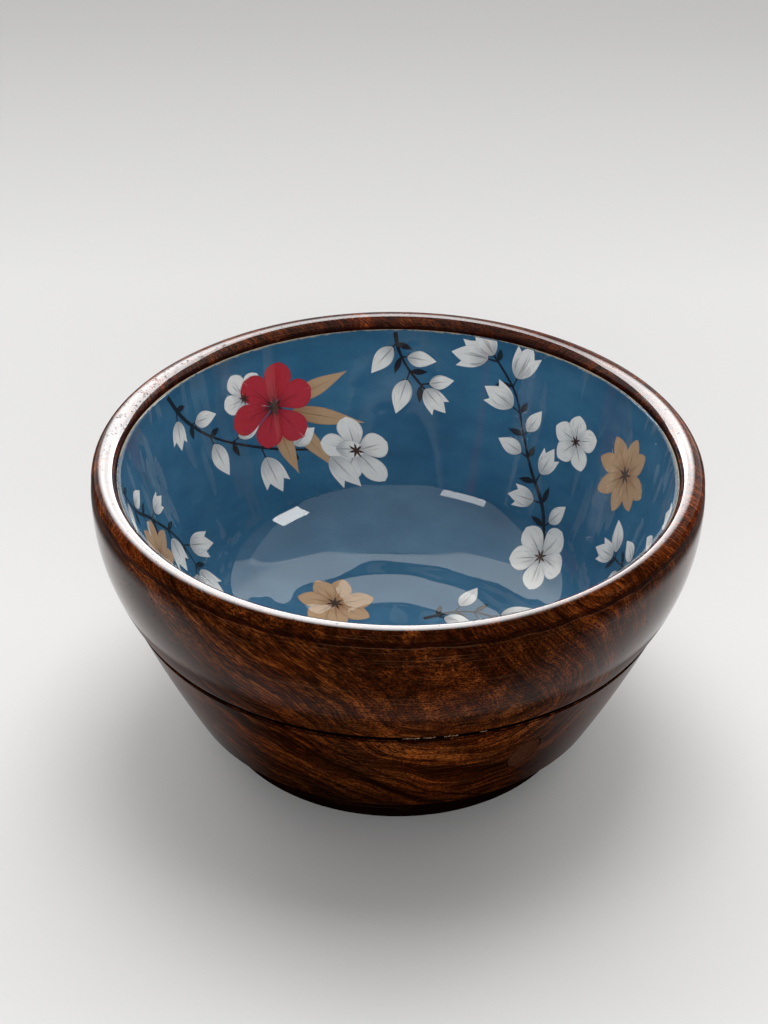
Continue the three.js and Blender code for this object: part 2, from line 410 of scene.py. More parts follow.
@dataclass(frozen=True)
class LacqueredWood:
    """Dark figured hardwood under a glossy lacquer, with sizes in millimetres."""

    name: str
    grain: LogGrain = LogGrain()
    tints: WoodTints = WoodTints()
    shift: tuple[float, float, float] = (0.0, 0.0, 0.0)
    brightness: float = 1.0
    warmth: float = 0.0
    figure: float = 1.0
    lacquer: float = 1.0
    rim_height: float = 122.6
    rim_radius: float = 119.6
    rim_band: float = 2.4
    seam_middle: float = 70.2
    fine_line_below: float = 2.0
    lip_above: float = 7.5
    lacquer_edge: float = 119.4
    vein_height: float = 38.0
    vein_slope: float = 0.69
    vein_gap: float = 10.5

    def material(self) -> bpy.types.Material:
        """Builds the material.

        Returns:
            The finished material.
        """
        made, graph = new_material(self.name)
        at = self._spot(graph)
        figure = self._figure(graph, at)
        # Painted shade: the seam's groove and the fine line below it are painted near black, where their
        # shadow falls.
        seam = graph.band(at.height - self.seam_middle, 1.6, 1.2)
        fine_line = graph.band(at.height - self.seam_middle + self.fine_line_below, 0.4, 0.15)
        seam = graph.maths("MAXIMUM", seam, fine_line * 0.8)
        over_edge = at.height - self.lacquer_edge - graph.noise(at.place, 1 / 15, detail=2.0) * 4.0
        colour = self._turned_marks(graph, at, self._wood_colour(graph, at, figure))
        colour = graph.blend(figure.pits, colour, self.tints.pit)
        colour = graph.blend(seam, colour, self.tints.gap)
        colour = self._rim_colours(graph, at, over_edge, colour)
        colour = self._veins(graph, at, colour)
        # Painted highlight: a thin light line along the lacquer's wavy edge, broken up by noise.
        painted_edge_highlight = graph.band(over_edge, 0.30, 0.10)
        painted_edge_highlight = painted_edge_highlight * graph.smooth(graph.noise(at.place, 1 / 20, detail=1.0), 0.40, 0.58)
        colour = graph.blend(painted_edge_highlight * 0.16, colour, self.tints.painted_edge_highlight)
        relief = figure.pores * -0.5 + figure.fibres * 0.25 + figure.pits * -1.0
        bump = graph.node("ShaderNodeBump", {}, {"Strength": 0.05, "Distance": 0.0004, "Height": relief})
        gloss = graph.maths("MAXIMUM", self._rim_gloss(graph, at), self._wall_gloss(graph, at))
        graph.surface(
            colour,
            graph.smooth(figure.fibres + figure.mottle, 0.6, 1.4, 0.30, 0.42),
            IOR=1.3,
            Specular_IOR_Level=0.0,
            Coat_Weight=gloss * (1.0 - figure.pits * 0.8) * (1.0 - seam) * self.lacquer,
            Coat_Roughness=0.045,
            Coat_IOR=1.6,
            Normal=graph.out(bump),
        )
        return made

    def _spot(self, graph: Graph) -> WoodSpot:
        """Finds a point's place on the bowl, and in the log with its growth layers bent.

        Args:
            graph: the material's graph.

        Returns:
            The places as fields.
        """
        place = graph.place_mm()
        x, y, height = graph.separate(place)
        axes = [tuple(axis) for axis in self.grain.axes()]
        bent = graph.vector("ADD", place, graph.sway(place, self.grain.slow_cell, self.grain.slow_bend))
        bent = graph.vector("ADD", bent, graph.sway(place, self.grain.quick_cell, self.grain.quick_bend))
        pith = tuple(a + b for a, b in zip(self.grain.pith, self.shift))
        local = graph.vector("SUBTRACT", bent, pith)
        along, across, aside = (graph.vector("DOT_PRODUCT", local, axis) for axis in axes)
        straight = [graph.vector("DOT_PRODUCT", place, axis) for axis in axes]
        return WoodSpot(
            place, x, y, height,
            radius=graph.maths("SQRT", x * x + y * y),
            along=along, across=across, aside=aside,
            reach=graph.maths("SQRT", across * across + aside * aside),
            straight=graph.combine(straight[1], straight[2], straight[0]),
        )

    def _figure(self, graph: Graph, at: WoodSpot) -> Figure:
        """Works out the rings, lines, fibres, pores and pits.

        Args:
            graph: the material's graph.
            at: the point's places.

        Returns:
            The figure at the point.
        """
        grain = self.grain
        broad_place = graph.combine(
            at.reach / grain.broad_band, at.across / grain.broad_width, at.aside / grain.broad_width)
        broad = graph.noise(broad_place, detail=2.0, rough=0.55, extra=at.along / grain.broad_length)
        fine_place = graph.combine(
            at.reach / grain.fine_band, at.across / grain.fine_width, at.aside / grain.fine_width)
        fine = graph.noise(fine_place, detail=3.0, rough=0.6, extra=at.along / grain.fine_length)
        lines = graph.maths("FRACT", at.reach / grain.line_spacing + broad * 2.4) ** 5.0
        thin_lines = graph.maths("FRACT", at.reach / grain.thin_line_spacing + fine * 1.6) ** 3.0
        fibres = graph.noise(at.straight, detail=2.0, rough=0.6, stretch=(2.2, 2.2, 0.075))
        mottle = graph.noise(at.place, 0.16, detail=4.0, rough=0.62)
        near_pith = graph.smooth(at.reach, 52.0, 12.0)
        rings = graph.smooth(at.reach, 3.0, 26.0, 0.35, 1.0) * self.figure
        tone = 0.5 + ((broad - 0.5) * 1.1 + (fine - 0.5) * 1.0) * rings
        tone = tone + (fibres - 0.5) * 1.15 + (mottle - 0.5) * (near_pith * 0.5 + 0.6)
        tone = tone - (lines * 0.16 + thin_lines * 0.22) * rings
        pores = graph.noise(at.straight, detail=1.0, stretch=(1.7, 1.7, 0.24))
        knots = graph.noise(at.place, detail=3.0, rough=0.62, stretch=(0.6, 0.6, 1.7))
        knots = graph.smooth(knots, 0.55, 0.60) * near_pith
        pores = graph.maths("MAXIMUM", graph.smooth(pores, 0.57, 0.63), knots)
        pits = graph.smooth(graph.noise(at.place, 0.75, detail=1.0, rough=0.4), 0.735, 0.76)
        return Figure(tone, pores, fibres, mottle, pits)

    def _wood_colour(self, graph: Graph, at: WoodSpot, figure: Figure) -> Field:
        """The wood's colour from the figure's tone, with warm patches and dark pores.

        Args:
            graph: the material's graph.
            at: the point's places.
            figure: the figure there.

        Returns:
            The colour as a field.
        """
        stops = [(spot, tuple(part * self.brightness for part in tint)) for spot, tint in self.tints.figure]
        warm_patch = graph.smooth(graph.noise(at.place, 1 / 38, detail=2.0), 0.4, 0.65)
        colour = graph.ramp(figure.tone, stops)
        colour = graph.blend(warm_patch * self.warmth, colour, self.tints.warm_patch, "MULTIPLY")
        return graph.blend(figure.pores * 0.88, colour, self.tints.pore)

    def _turned_marks(self, graph: Graph, at: WoodSpot, colour: Field) -> Field:
        """Lays pale flecks and the turning tool's light and dark rounds over the wood.

        Args:
            graph: the material's graph.
            at: the point's places.
            colour: the wood's colour.

        Returns:
            The colour as a field.
        """
        flecks = graph.smooth(graph.noise(at.place, 1.1, detail=2.0, rough=0.7), 0.70, 0.76)
        rounds = graph.noise(at.place, detail=2.0, rough=0.6, stretch=(0.03, 0.03, 2.6))
        colour = graph.blend(flecks * 0.35, colour, self.tints.fleck)
        colour = graph.blend(graph.smooth(rounds, 0.60, 0.68) * 0.14, colour, self.tints.light_mark)
        return graph.blend(graph.smooth(rounds, 0.40, 0.33) * 0.40, colour, self.tints.dark_mark)

    def _rim_colours(self, graph: Graph, at: WoodSpot, over_edge: Field, colour: Field) -> Field:
        """Darkens the band under the rim and the wall near the foot with painted shade, and brightens the
        rim's top with painted light.

        Args:
            graph: the material's graph.
            at: the point's places.
            over_edge: the height over the lacquer's wavy edge.
            colour: the wood's colour.

        Returns:
            The colour as a field.
        """
        # Painted shade: a dark band just above the lacquer's wavy edge, round the rim's outer round.
        shade = graph.smooth(over_edge, 0.0, 0.4) * graph.smooth(over_edge, 3.2, 2.0)
        # Painted light: the rim's top is brightened, less so at the front.
        front_side = graph.smooth(at.y, -50.0, -95.0) * graph.smooth(at.radius, 118.8, 120.6)
        painted_rim_light = graph.smooth(at.height, 121.0, 123.4) * (1.0 - front_side * 0.8)
        colour = graph.blend(shade * 0.75, colour, self.tints.painted_edge_shade)
        colour = graph.blend(painted_rim_light, colour, self.tints.painted_rim_light, "MULTIPLY")
        # Painted shade: the wall darkens towards the foot.
        return graph.blend(graph.smooth(at.height, 50.0, 13.0) * 0.6, colour, self.tints.painted_underside_shade)

    def _veins(self, graph: Graph, at: WoodSpot, colour: Field) -> Field:
        """Lays a broad and a narrow dark vein aslant over the front of the lower wall.

        Args:
            graph: the material's graph.
            at: the point's places.
            colour: the wood's colour.

        Returns:
            The colour as a field.
        """
        slant = at.height + at.x * self.vein_slope - self.vein_height
        slant = slant + graph.noise(at.place, 1 / 26, detail=3.0, rough=0.6) * 15.0
        broad = graph.band(slant, 4.6, 0.8) * 0.85
        narrow = graph.band(slant - self.vein_gap, 1.7, 0.3) * 0.75
        where = graph.smooth(at.height, 67.0, 62.0) * graph.smooth(at.y, 0.0, -25.0)
        return graph.blend(graph.maths("MAXIMUM", broad, narrow) * where, colour, self.tints.vein)

    def _rim_gloss(self, graph: Graph, at: WoodSpot) -> Field:
        """The lacquer's gloss on the rim's inner half, worn dull in scuffs at the back left.

        Args:
            graph: the material's graph.
            at: the point's places.

        Returns:
            The gloss, from 0 to 1.
        """
        front_right = graph.smooth(at.x, 0.0, 70.0) * graph.smooth(at.y, 20.0, -50.0)
        outer_side = self.rim_radius - graph.smooth(at.x, 20.0, 90.0) * 1.2
        outer_side = outer_side - graph.smooth(at.y, 30.0, 105.0) * 2.1 - front_right * 0.3
        scuffs = graph.smooth(graph.noise(at.place, 0.42, detail=3.0, rough=0.75), 0.44, 0.36)
        scuffs = scuffs * graph.smooth(at.x, -55.0, -85.0) * graph.smooth(at.y, -20.0, 15.0)
        crown = graph.smooth(at.height, self.rim_height + 0.4, self.rim_height + self.rim_band)
        rim = graph.smooth(at.radius - outer_side, self.rim_band, 0.3) * crown
        return rim * (1.0 - scuffs * 0.7) * (1.0 - front_right * 0.3)

    def _wall_gloss(self, graph: Graph, at: WoodSpot) -> Field:
        """The lacquer's gloss on the walls, which is fullest where they turn away at the sides.

        Args:
            graph: the material's graph.
            at: the point's places.

        Returns:
            The gloss, from 0 to 1.
        """
        facing = graph.out(graph.node("ShaderNodeLayerWeight", {}, {"Blend": 0.5}), "Facing")
        turned = graph.smooth(facing, 0.30, 0.55, 0.0, 0.45) + graph.smooth(facing, 0.50, 0.85, 0.0, 0.48)
        over_lip = graph.band(at.height - self.seam_middle - self.lip_above, 4.0, 9.0, 0.35, 1.0)
        sides = graph.band(at.x, 42.0, 84.0)
        upper = graph.smooth(at.height, 76.0, 92.0, 0.0, 0.7)
        under_rim = graph.smooth(at.height, 120.0, 113.0, 0.1, 1.0)
        return turned * over_lip * graph.maths("MAXIMUM", sides, upper) * under_rim


@dataclass(frozen=True)
class PlainFill:
    """A plain mottled wood or putty, without the log's figure."""

    name: str
    light: Colour
    shade: Colour
    lacquer: float
    speck_share: float = 0.35

    def material(self) -> bpy.types.Material:
        """Builds the material.

        Returns:
            The finished material.
        """
        made, graph = new_material(self.name)
        place = graph.place_mm()
        mottle = graph.noise(place, 0.7, detail=4.0, rough=0.65)
        specks = graph.smooth(graph.noise(place, 2.2, detail=1.0), 0.66, 0.72)
        colour = graph.blend(graph.smooth(mottle, 0.34, 0.66), self.shade, self.light)
        colour = graph.blend(specks * 0.6, colour, tuple(self.speck_share * part for part in self.shade))
        graph.surface(
            colour,
            graph.smooth(mottle, 0.3, 0.7, 0.34, 0.46),
            Specular_IOR_Level=0.0,
            Coat_Weight=graph.smooth(mottle, 0.2, 0.6, 0.8, 1.0) * self.lacquer,
            Coat_Roughness=0.05,
        )
        return made


@dataclass(frozen=True)
class PrintedBlue:
    """The printed sheet's blue ground: brushed, with a cream cut edge."""

    name: str
    edge_height: float
    washes: tuple[tuple[float, Colour], ...] = (
        (0.18, (0.023, 0.110, 0.210)),
        (0.50, (0.037, 0.153, 0.275)),
        (0.82, (0.065, 0.207, 0.338)),
    )
    edge_blue: Colour = (0.014, 0.060, 0.120)
    cream: Colour = (0.50, 0.42, 0.30)

    def material(self) -> bpy.types.Material:
        """Builds the material.

        Returns:
            The finished material.
        """
        made, graph = new_material(self.name)
        place = graph.place_mm()
        edge = self.edge_height / MM
        brushed = graph.noise(place, detail=5.0, rough=0.6, stretch=(0.045, 0.045, 0.11))
        washed = graph.noise(place, 1 / 34, detail=3.0, rough=0.55)
        colour = graph.ramp((brushed - 0.5) * 0.9 + (washed - 0.5) * 0.5 + 0.5, self.washes)
        height = graph.separate(place)[2]
        colour = graph.blend(graph.smooth(height, edge - 9.0, edge) * 0.35, colour, self.edge_blue)
        torn = graph.noise(place, 0.45, detail=3.0, rough=0.7) * 2.2
        torn = torn + graph.noise(place, 0.035, detail=1.0) * 2.0
        rag = graph.smooth(height - torn, edge - 2.55, edge - 2.2)
        colour = graph.blend(rag * 0.85, colour, self.cream)
        weave = graph.noise(place, 1.4, detail=2.0)
        graph.surface(colour, graph.smooth(weave, 0.3, 0.7, 0.5, 0.66), IOR=1.3)
        return made


@dataclass(frozen=True)
class Ink:
    """A printed ink that shades from a petal's base to its tip, with fine veins along it."""

    name: str
    light: Colour
    shade: Colour
    vein: Colour
    shade_to: float = 0.55
    vein_share: float = 0.4
    vein_count: float = 11.0

    def material(self) -> bpy.types.Material:
        """Builds the material.

        Returns:
            The finished material.
        """
        made, graph = new_material(self.name)
        uv = graph.out(graph.node("ShaderNodeUVMap", {"uv_map": "petal"}, {}))
        across, along, _ = graph.separate(uv)
        place = graph.place_mm()
        drawn = graph.combine(across * self.vein_count, along * 1.6, 0.0)
        drawn = graph.vector("ADD", drawn, graph.vector("SCALE", place, scale=0.02))
        streaks = graph.noise(drawn, detail=3.0, rough=0.6)
        base = graph.smooth(along + (streaks - 0.5) * 0.5, self.shade_to, 0.0)
        colour = graph.blend(base * 0.85, self.light, self.shade)
        veins = graph.smooth(streaks, 0.52, 0.70) * graph.smooth(along, 1.0, 0.25)
        colour = graph.blend(veins * self.vein_share, colour, self.vein)
        middle = graph.band(across - 0.5, 0.05, 0.012) * graph.smooth(along, 0.85, 0.3)
        colour = graph.blend(middle * self.vein_share, colour, self.vein)
        colour = graph.blend(graph.band(across - 0.5, 0.43, 0.5) * 0.28, colour, self.shade)
        paper = graph.noise(place, 0.9, detail=3.0, rough=0.6)
        graph.surface(colour, graph.smooth(paper, 0.3, 0.7, 0.48, 0.62), IOR=1.3)
        return made


@dataclass(frozen=True)
class ClearPour:
    """The clear glossy coat: seen through, and mirroring by Fresnel on its outer face alone."""

    name: str
    refraction: float = 1.46
    mirror_most: float = 0.11
    clear: tuple[float, float, float, float] = (0.985, 0.99, 0.995, 1.0)
    sheen: tuple[float, float, float, float] = (1.0, 1.0, 0.95, 1.0)

    def material(self) -> bpy.types.Material:
        """Builds the material.

        Returns:
            The finished material.
        """
        made, graph = new_material(self.name)
        place = graph.place_mm()
        ripple = graph.noise(place, 1 / 16, detail=2.0) + graph.noise(place, 1 / 3.2, detail=1.0) * 0.02
        bump = graph.node("ShaderNodeBump", {}, {"Strength": 0.02, "Distance": 0.001, "Height": ripple})
        normal = graph.out(bump)
        mirror = graph.out(graph.node("ShaderNodeFresnel", {}, {"IOR": self.refraction, "Normal": normal}))
        mirror = graph.maths("MINIMUM", mirror, self.mirror_most)
        outside = 1.0 - graph.out(graph.node("ShaderNodeNewGeometry", {}, {}), "Backfacing")
        through = graph.node("ShaderNodeBsdfTransparent", {}, {"Color": self.clear})
        inputs = {"Color": self.sheen, "Roughness": 0.01, "Normal": normal}
        gloss = graph.node("ShaderNodeBsdfGlossy", {}, inputs)
        mix = {0: mirror * outside, 1: graph.out(through), 2: graph.out(gloss)}
        graph.finish(graph.node("ShaderNodeMixShader", {}, mix))
        return made


@dataclass(frozen=True)
class PaleTable:
    """The pale matt table, with painted shade that darkens it far away."""

    name: str
    near: float = -300.0
    span: float = 1500.0
    # Painted shade: the table's colour falls off from near to far.
    painted_shade_tones: tuple[tuple[float, Colour], ...] = (
        (0.0, (0.80, 0.797, 0.794)),
        (0.2, (0.77, 0.767, 0.764)),
        (0.31, (0.70, 0.698, 0.696)),
        (0.46, (0.69, 0.688, 0.686)),
        (0.54, (0.62, 0.618, 0.616)),
        (0.72, (0.475, 0.473, 0.471)),
        (1.0, (0.33, 0.328, 0.326)),
    )

    def material(self) -> bpy.types.Material:
        """Builds the material.

        Returns:
            The finished material.
        """
        made, graph = new_material(self.name)
        place = graph.place_mm()
        ahead = graph.separate(place)[1]
        tone = graph.ramp((ahead - self.near) / self.span, self.painted_shade_tones)
        grain = graph.noise(place, 0.4, detail=4.0)
        graph.surface(graph.blend(grain * 0.05, tone, (0.5, 0.5, 0.5)), 0.85, IOR=1.2)
        return made


@dataclass(frozen=True)
class RingPoint:
    """A point of a turned profile, and how far the hand-worked surface strays inwards and sags there."""

    radius: float
    height: float
    stray: float = 0.0
    sag: float = 0.0


SHARP_EDGE = 40.0
ON_AXIS = 1e-7
STRAY_CYCLES = 2.6
SAG_CYCLES = 4.0
SAG_SEED = 7.0


def arc(centre: Point2, size: float, start: float, end: float, steps: int) -> list[Point2]:
    """Points at even steps on an arc, both ends included, in the (radius, height) plane."""
    turns = [start + (end - start) * i / steps for i in range(steps + 1)]
    return [(centre[0] + size * math.cos(turn), centre[1] + size * math.sin(turn)) for turn in turns]


def direction(start: Point2, end: Point2) -> float:
    """The angle of the line from one point to another."""
    return math.atan2(end[1] - start[1], end[0] - start[0])


def lower_crossing(a: Point2, radius_a: float, b: Point2, radius_b: float) -> Point2:
    """Finds the lower of two circles' crossings.

    Args:
        a: the first circle's centre.
        radius_a: its radius.
        b: the second circle's centre.
        radius_b: its radius.

    Returns:
        The crossing point.
    """
    gap = Vector(b) - Vector(a)
    along = (radius_a**2 - radius_b**2 + gap.length_squared) / (2 * gap.length)
    aside = math.sqrt(radius_a**2 - along**2)
    foot = Vector(a) + gap.normalized() * along
    side = Vector((-gap.y, gap.x)).normalized() * aside
    found = min(foot + side, foot - side, key=lambda point: point.y)
    return found.x, found.y


def wander(azimuth: float, seed: float, cycles: float) -> float:
    """Smooth repeatable unevenness round the bowl, from 0 to 1."""
    spot = Vector((cycles * math.cos(azimuth), cycles * math.sin(azimuth), seed))
    return min(1.0, max(0.0, 0.5 + 0.8 * noise.noise(spot)))


def mesh_from(made: bmesh.types.BMesh, name: str) -> bpy.types.Mesh:
    """Turns a finished bmesh into a mesh and frees it.

    Args:
        made: the bmesh.
        name: the mesh's name.

    Returns:
        The mesh.
    """
    mesh = bpy.data.meshes.new(name)
    made.to_mesh(mesh)
    made.free()
    return mesh


def add_object(name: str, data: bpy.types.ID) -> bpy.types.Object:
    """Puts a new object in the scene.

    Args:
        name: its name.
        data: its mesh, lamp or camera data.

    Returns:
        The object.
    """
    made = bpy.data.objects.new(name, data)
    bpy.context.scene.collection.objects.link(made)
    return made


def make_object(name: str, mesh: bpy.types.Mesh, sharp: float = SHARP_EDGE) -> bpy.types.Object:
    """Puts a mesh in the scene, smooth but for its sharp edges.

    Args:
        name: the object's name.
        mesh: its mesh.
        sharp: the angle in degrees from which an edge is sharp.

    Returns:
        The object.
    """
    mesh.polygons.foreach_set("use_smooth", [True] * len(mesh.polygons))
    mesh.set_sharp_from_angle(angle=math.radians(sharp))
    return add_object(name, mesh)


def turned(name: str, profile: Sequence[RingPoint], segments: int, seed: float = 0.0) -> bpy.types.Mesh:
    """Turns a closed profile round the axis.

    Args:
        name: the mesh's name.
        profile: its points, which close on themselves or start and end on the axis.
        segments: how many steps go round.
        seed: picks the unevenness.

    Returns:
        A closed mesh with its faces pointing out.
    """
    made = bmesh.new()
    rings = []
    for point in profile:
        if point.radius < ON_AXIS:
            rings.append([made.verts.new((0.0, 0.0, point.height))] * segments)
            continue
        ring = []
        for i in range(segments):
            azimuth = 2 * math.pi * i / segments
            radius = point.radius - point.stray * wander(azimuth, seed, STRAY_CYCLES)
            height = point.height - point.sag * wander(azimuth, seed + SAG_SEED, SAG_CYCLES)
            ring.append(made.verts.new((radius * math.cos(azimuth), radius * math.sin(azimuth), height)))
        rings.append(ring)
    closed = profile[0].radius > ON_AXIS
    for lower, upper in zip(rings, rings[1:] + (rings[:1] if closed else [])):
        for i in range(segments):
            j = (i + 1) % segments
            corners = list(dict.fromkeys((lower[i], lower[j], upper[j], upper[i])))
            if len(corners) > 2:
                made.faces.new(corners)
    bmesh.ops.recalc_face_normals(made, faces=made.faces)
    return mesh_from(made, name)


@dataclass(frozen=True)
class BowlForm:
    """The bowl's sizes, and the profiles that follow from them."""

    widest_radius: float
    total_height: float
    widest_below_rim: float = 13.1 * MM
    rim_thickness: float = 10 * MM
    upper_wall_arc: float = 86.3 * MM
    lip_rounding: float = 1.3 * MM
    seam_height: float = 70.8 * MM
    seam_step: float = 0.9 * MM
    seam_gap: float = 0.8 * MM
    seam_depth: float = 2.6 * MM
    bevel_width: float = 1.1 * MM
    bevel_height: float = 1.4 * MM
    fine_line: float = 0.5 * MM
    tongue_set_in: float = 9 * MM
    tongue_height: float = 8 * MM
    glue_gap: float = 0.3 * MM
    lower_edge_radius: float = 88.7 * MM
    lower_edge_rounding: float = 1.2 * MM
    lower_wall_arc: float = 600 * MM
    foot_height: float = 16.5 * MM
    foot_set_in: float = 8.8 * MM
    foot_taper: float = 3.1 * MM
    foot_width: float = 12 * MM
    foot_bevel: float = 1 * MM
    foot_tongue_width: float = 6 * MM
    foot_tongue_height: float = 4 * MM
    wood_floor: float = 11.8 * MM
    level_radius: float = 30 * MM
    slope_width: float = 20 * MM
    slope_angle: float = math.radians(9.2)
    dish_arc: float = 155 * MM
    corner_arc: float = 33.5 * MM
    wall_arc: float = 345 * MM
    wall_lean: float = math.radians(14.3)
    resin_on_wall: float = 1 * MM
    resin_on_floor: float = 2.2 * MM
    sheet_thickness: float = 0.4 * MM
    sheet_below_rim: float = 5.3 * MM
    uneven_below_spring: float = 3.5 * MM
    wall_stray: float = 0.16 * MM
    rim_stray: float = 0.10 * MM
    rim_stray_steps: int = 4
    lip_sag: float = 0.35 * MM
    lip_sag_steps: int = 6
    bevel_sag: float = 0.25 * MM
    bevel_points: int = 3
    outer_steps: int = 44
    rounding_steps: int = 7
    rim_steps: int = 26
    rim_inside_steps: int = 18
    level_steps: int = 5
    slope_steps: int = 6
    dish_steps: int = 9
    corner_steps: int = 14
    inside_steps: int = 16
    foot_steps: int = 8
    foot_round_steps: int = 5

    @property
    def set_backs(self) -> dict[str, Point2]:
        """How far each face lies behind the clear coat's face.

        Returns:
            Each face's distances, on the wall and on the floor.
        """
        sheet_back = self.glue_gap + self.sheet_thickness
        depths = {
            "resin_back": 0.0, "sheet_face": self.glue_gap, "sheet_back": sheet_back,
            "wood_face": sheet_back + self.glue_gap,
        }
        found = {
            name: (self.resin_on_wall + depth, self.resin_on_floor + depth) for name, depth in depths.items()
        }
        return {"resin_face": (0.0, 0.0), **found}

    @property
    def upper_centre(self) -> Point2:
        """Centre of the upper wall's arc."""
        return self.widest_radius - self.upper_wall_arc, self.total_height - self.widest_below_rim

    @property
    def rim_spring(self) -> float:
        """Height where the rim's round starts."""
        return self.total_height - self.rim_thickness / 2

    def upper_radius(self, height: float) -> float:
        """Radius of the upper wall's outside at a height."""
        centre = self.upper_centre
        return centre[0] + math.sqrt(self.upper_wall_arc**2 - (height - centre[1]) ** 2)

    @property
    def rim_inner(self) -> float:
        """Radius of the wood inside the rim."""
        return self.upper_radius(self.rim_spring) - self.rim_thickness

    @property
    def shoulder(self) -> float:
        """Height of the lower section's shoulder, the bottom of the gap."""
        return self.seam_height - self.seam_gap

    @property
    def tongue_radius(self) -> float:
        """Radius of the lower section's tongue."""
        return self.upper_radius(self.seam_height) - self.tongue_set_in

    @property
    def sheet_top(self) -> float:
        """Height of the printed sheet's cut edge."""
        return self.total_height - self.sheet_below_rim

    @property
    def wall_centre(self) -> Point2:
        """Centre of the inside wall's arc.

        Returns:
            The centre as (radius, height).
        """
        wood = self.set_backs["wood_face"][0]
        across = self.rim_inner - wood - self.wall_arc * math.cos(self.wall_lean)
        return across, self.rim_spring + self.wall_arc * math.sin(self.wall_lean)

    @property
    def floor_height(self) -> float:
        """Height of the clear coat's face on the level floor."""
        return self.foot_height + self.wood_floor + self.set_backs["wood_face"][1]

    @property
    def dish_centre(self) -> Point2:
        """Centre of the dish arc that goes on from the low slope.

        Returns:
            The centre as (radius, height).
        """
        edge = self.level_radius + self.slope_width
        rise = self.floor_height + self.slope_width * math.tan(self.slope_angle)
        return (
            edge - self.dish_arc * math.sin(self.slope_angle),
            rise + self.dish_arc * math.cos(self.slope_angle),
        )

    def inside_wall(self, back: Point2, low: float, high: float, steps: int) -> list[Point2]:
        """The inside wall at a set-back between two heights, upwards.

        Args:
            back: how far behind the clear coat's face, on the wall and on the floor.
            low: the lower height.
            high: the upper height.
            steps: how many steps it has.

        Returns:
            The (radius, height) points.
        """
        size = self.wall_arc + back[0]
        turns = [math.asin((height - self.wall_centre[1]) / size) for height in (low, high)]
        return arc(self.wall_centre, size, turns[0], turns[1], steps)

    def inside(self, back: Point2, top: float, fine: int = 1) -> list[Point2]:
        """The whole inside at a set-back, from the axis outwards and up to a height.

        Args:
            back: how far behind the clear coat's face, on the wall and on the floor.
            top: the height at which it ends.
            fine: multiplies the number of steps.

        Returns:
            The (radius, height) points.
        """
        dish, corner, wall = self.dish_arc + back[1], self.corner_arc + back[0], self.wall_arc + back[0]
        corner_centre = lower_crossing(self.dish_centre, dish - corner, self.wall_centre, wall - corner)
        dish_end = direction(self.dish_centre, corner_centre)
        slope_start = self.slope_angle - math.pi / 2
        dish_points = arc(self.dish_centre, dish, slope_start, dish_end, self.dish_steps * fine)
        corner_end = direction(self.wall_centre, corner_centre)
        corner_points = arc(corner_centre, corner, dish_end, corner_end, self.corner_steps * fine)
        level = self.floor_height - back[1]
        level_edge = self.level_radius + back[1] * math.tan(self.slope_angle / 2)
        flat_steps, slope_steps = self.level_steps * fine, self.slope_steps * fine
        flat = [(level_edge * i / flat_steps, level) for i in range(flat_steps + 1)]
        run, rise = dish_points[0][0] - level_edge, dish_points[0][1] - level
        slope = [
            (level_edge + run * i / slope_steps, level + rise * i / slope_steps)
            for i in range(1, slope_steps)
        ]
        wall_points = self.inside_wall(back, corner_points[-1][1], top, self.inside_steps * fine)
        return [*flat, *slope, *dish_points, *corner_points[1:], *wall_points[1:]]

    def rounded_wall(self, centre: Point2, size: float, rounding: float, bottom: float,
                     top: float) -> list[Point2]:
        """An outer wall's arc with its bottom edge rounded.

        Args:
            centre: the arc's centre.
            size: the arc's radius.
            rounding: the edge's radius.
            bottom: the height of the edge.
            top: the height at which the wall ends.

        Returns:
            The (radius, height) points, upwards.
        """
        height = bottom + rounding
        edge = (centre[0] + math.sqrt((size - rounding) ** 2 - (height - centre[1]) ** 2), height)
        meeting = direction(centre, edge)
        wall = arc(centre, size, meeting, math.asin((top - centre[1]) / size), self.outer_steps)
        return [*arc(edge, rounding, -math.pi / 2, meeting, self.rounding_steps), *wall[1:]]

    def upper_ring(self) -> list[RingPoint]:
        """Profile of the upper section.

        Returns:
            The closed profile's points.
        """
        uneven_from = self.rim_spring - self.uneven_below_spring
        wall = self.rounded_wall(
            self.upper_centre, self.upper_wall_arc, self.lip_rounding, self.seam_height, self.rim_spring)
        outer = [
            RingPoint(r, z, self.wall_stray * (z > uneven_from), self.lip_sag * (i < self.lip_sag_steps))
            for i, (r, z) in enumerate(wall)
        ]
        half = self.rim_thickness / 2
        rim = arc((self.rim_inner + half, self.rim_spring), half, 0, math.pi, self.rim_steps)[1:]
        rebate_top = self.shoulder + self.tongue_height + self.glue_gap
        rebate = self.tongue_radius + self.glue_gap
        groove = self.upper_radius(self.seam_height) - self.seam_step - self.seam_depth
        wood = self.set_backs["wood_face"]
        inner = self.inside_wall(wood, rebate_top, self.rim_spring, self.rim_inside_steps)[::-1][1:]
        seam = [
            (rebate, rebate_top), (rebate, self.shoulder),
            (groove, self.shoulder), (groove, self.seam_height),
        ]
        rounds = [
            RingPoint(r, z, self.rim_stray * (i < self.rim_stray_steps)) for i, (r, z) in enumerate(rim)
        ]
        return [*outer, *rounds, *(RingPoint(r, z) for r, z in (*inner, *seam))]

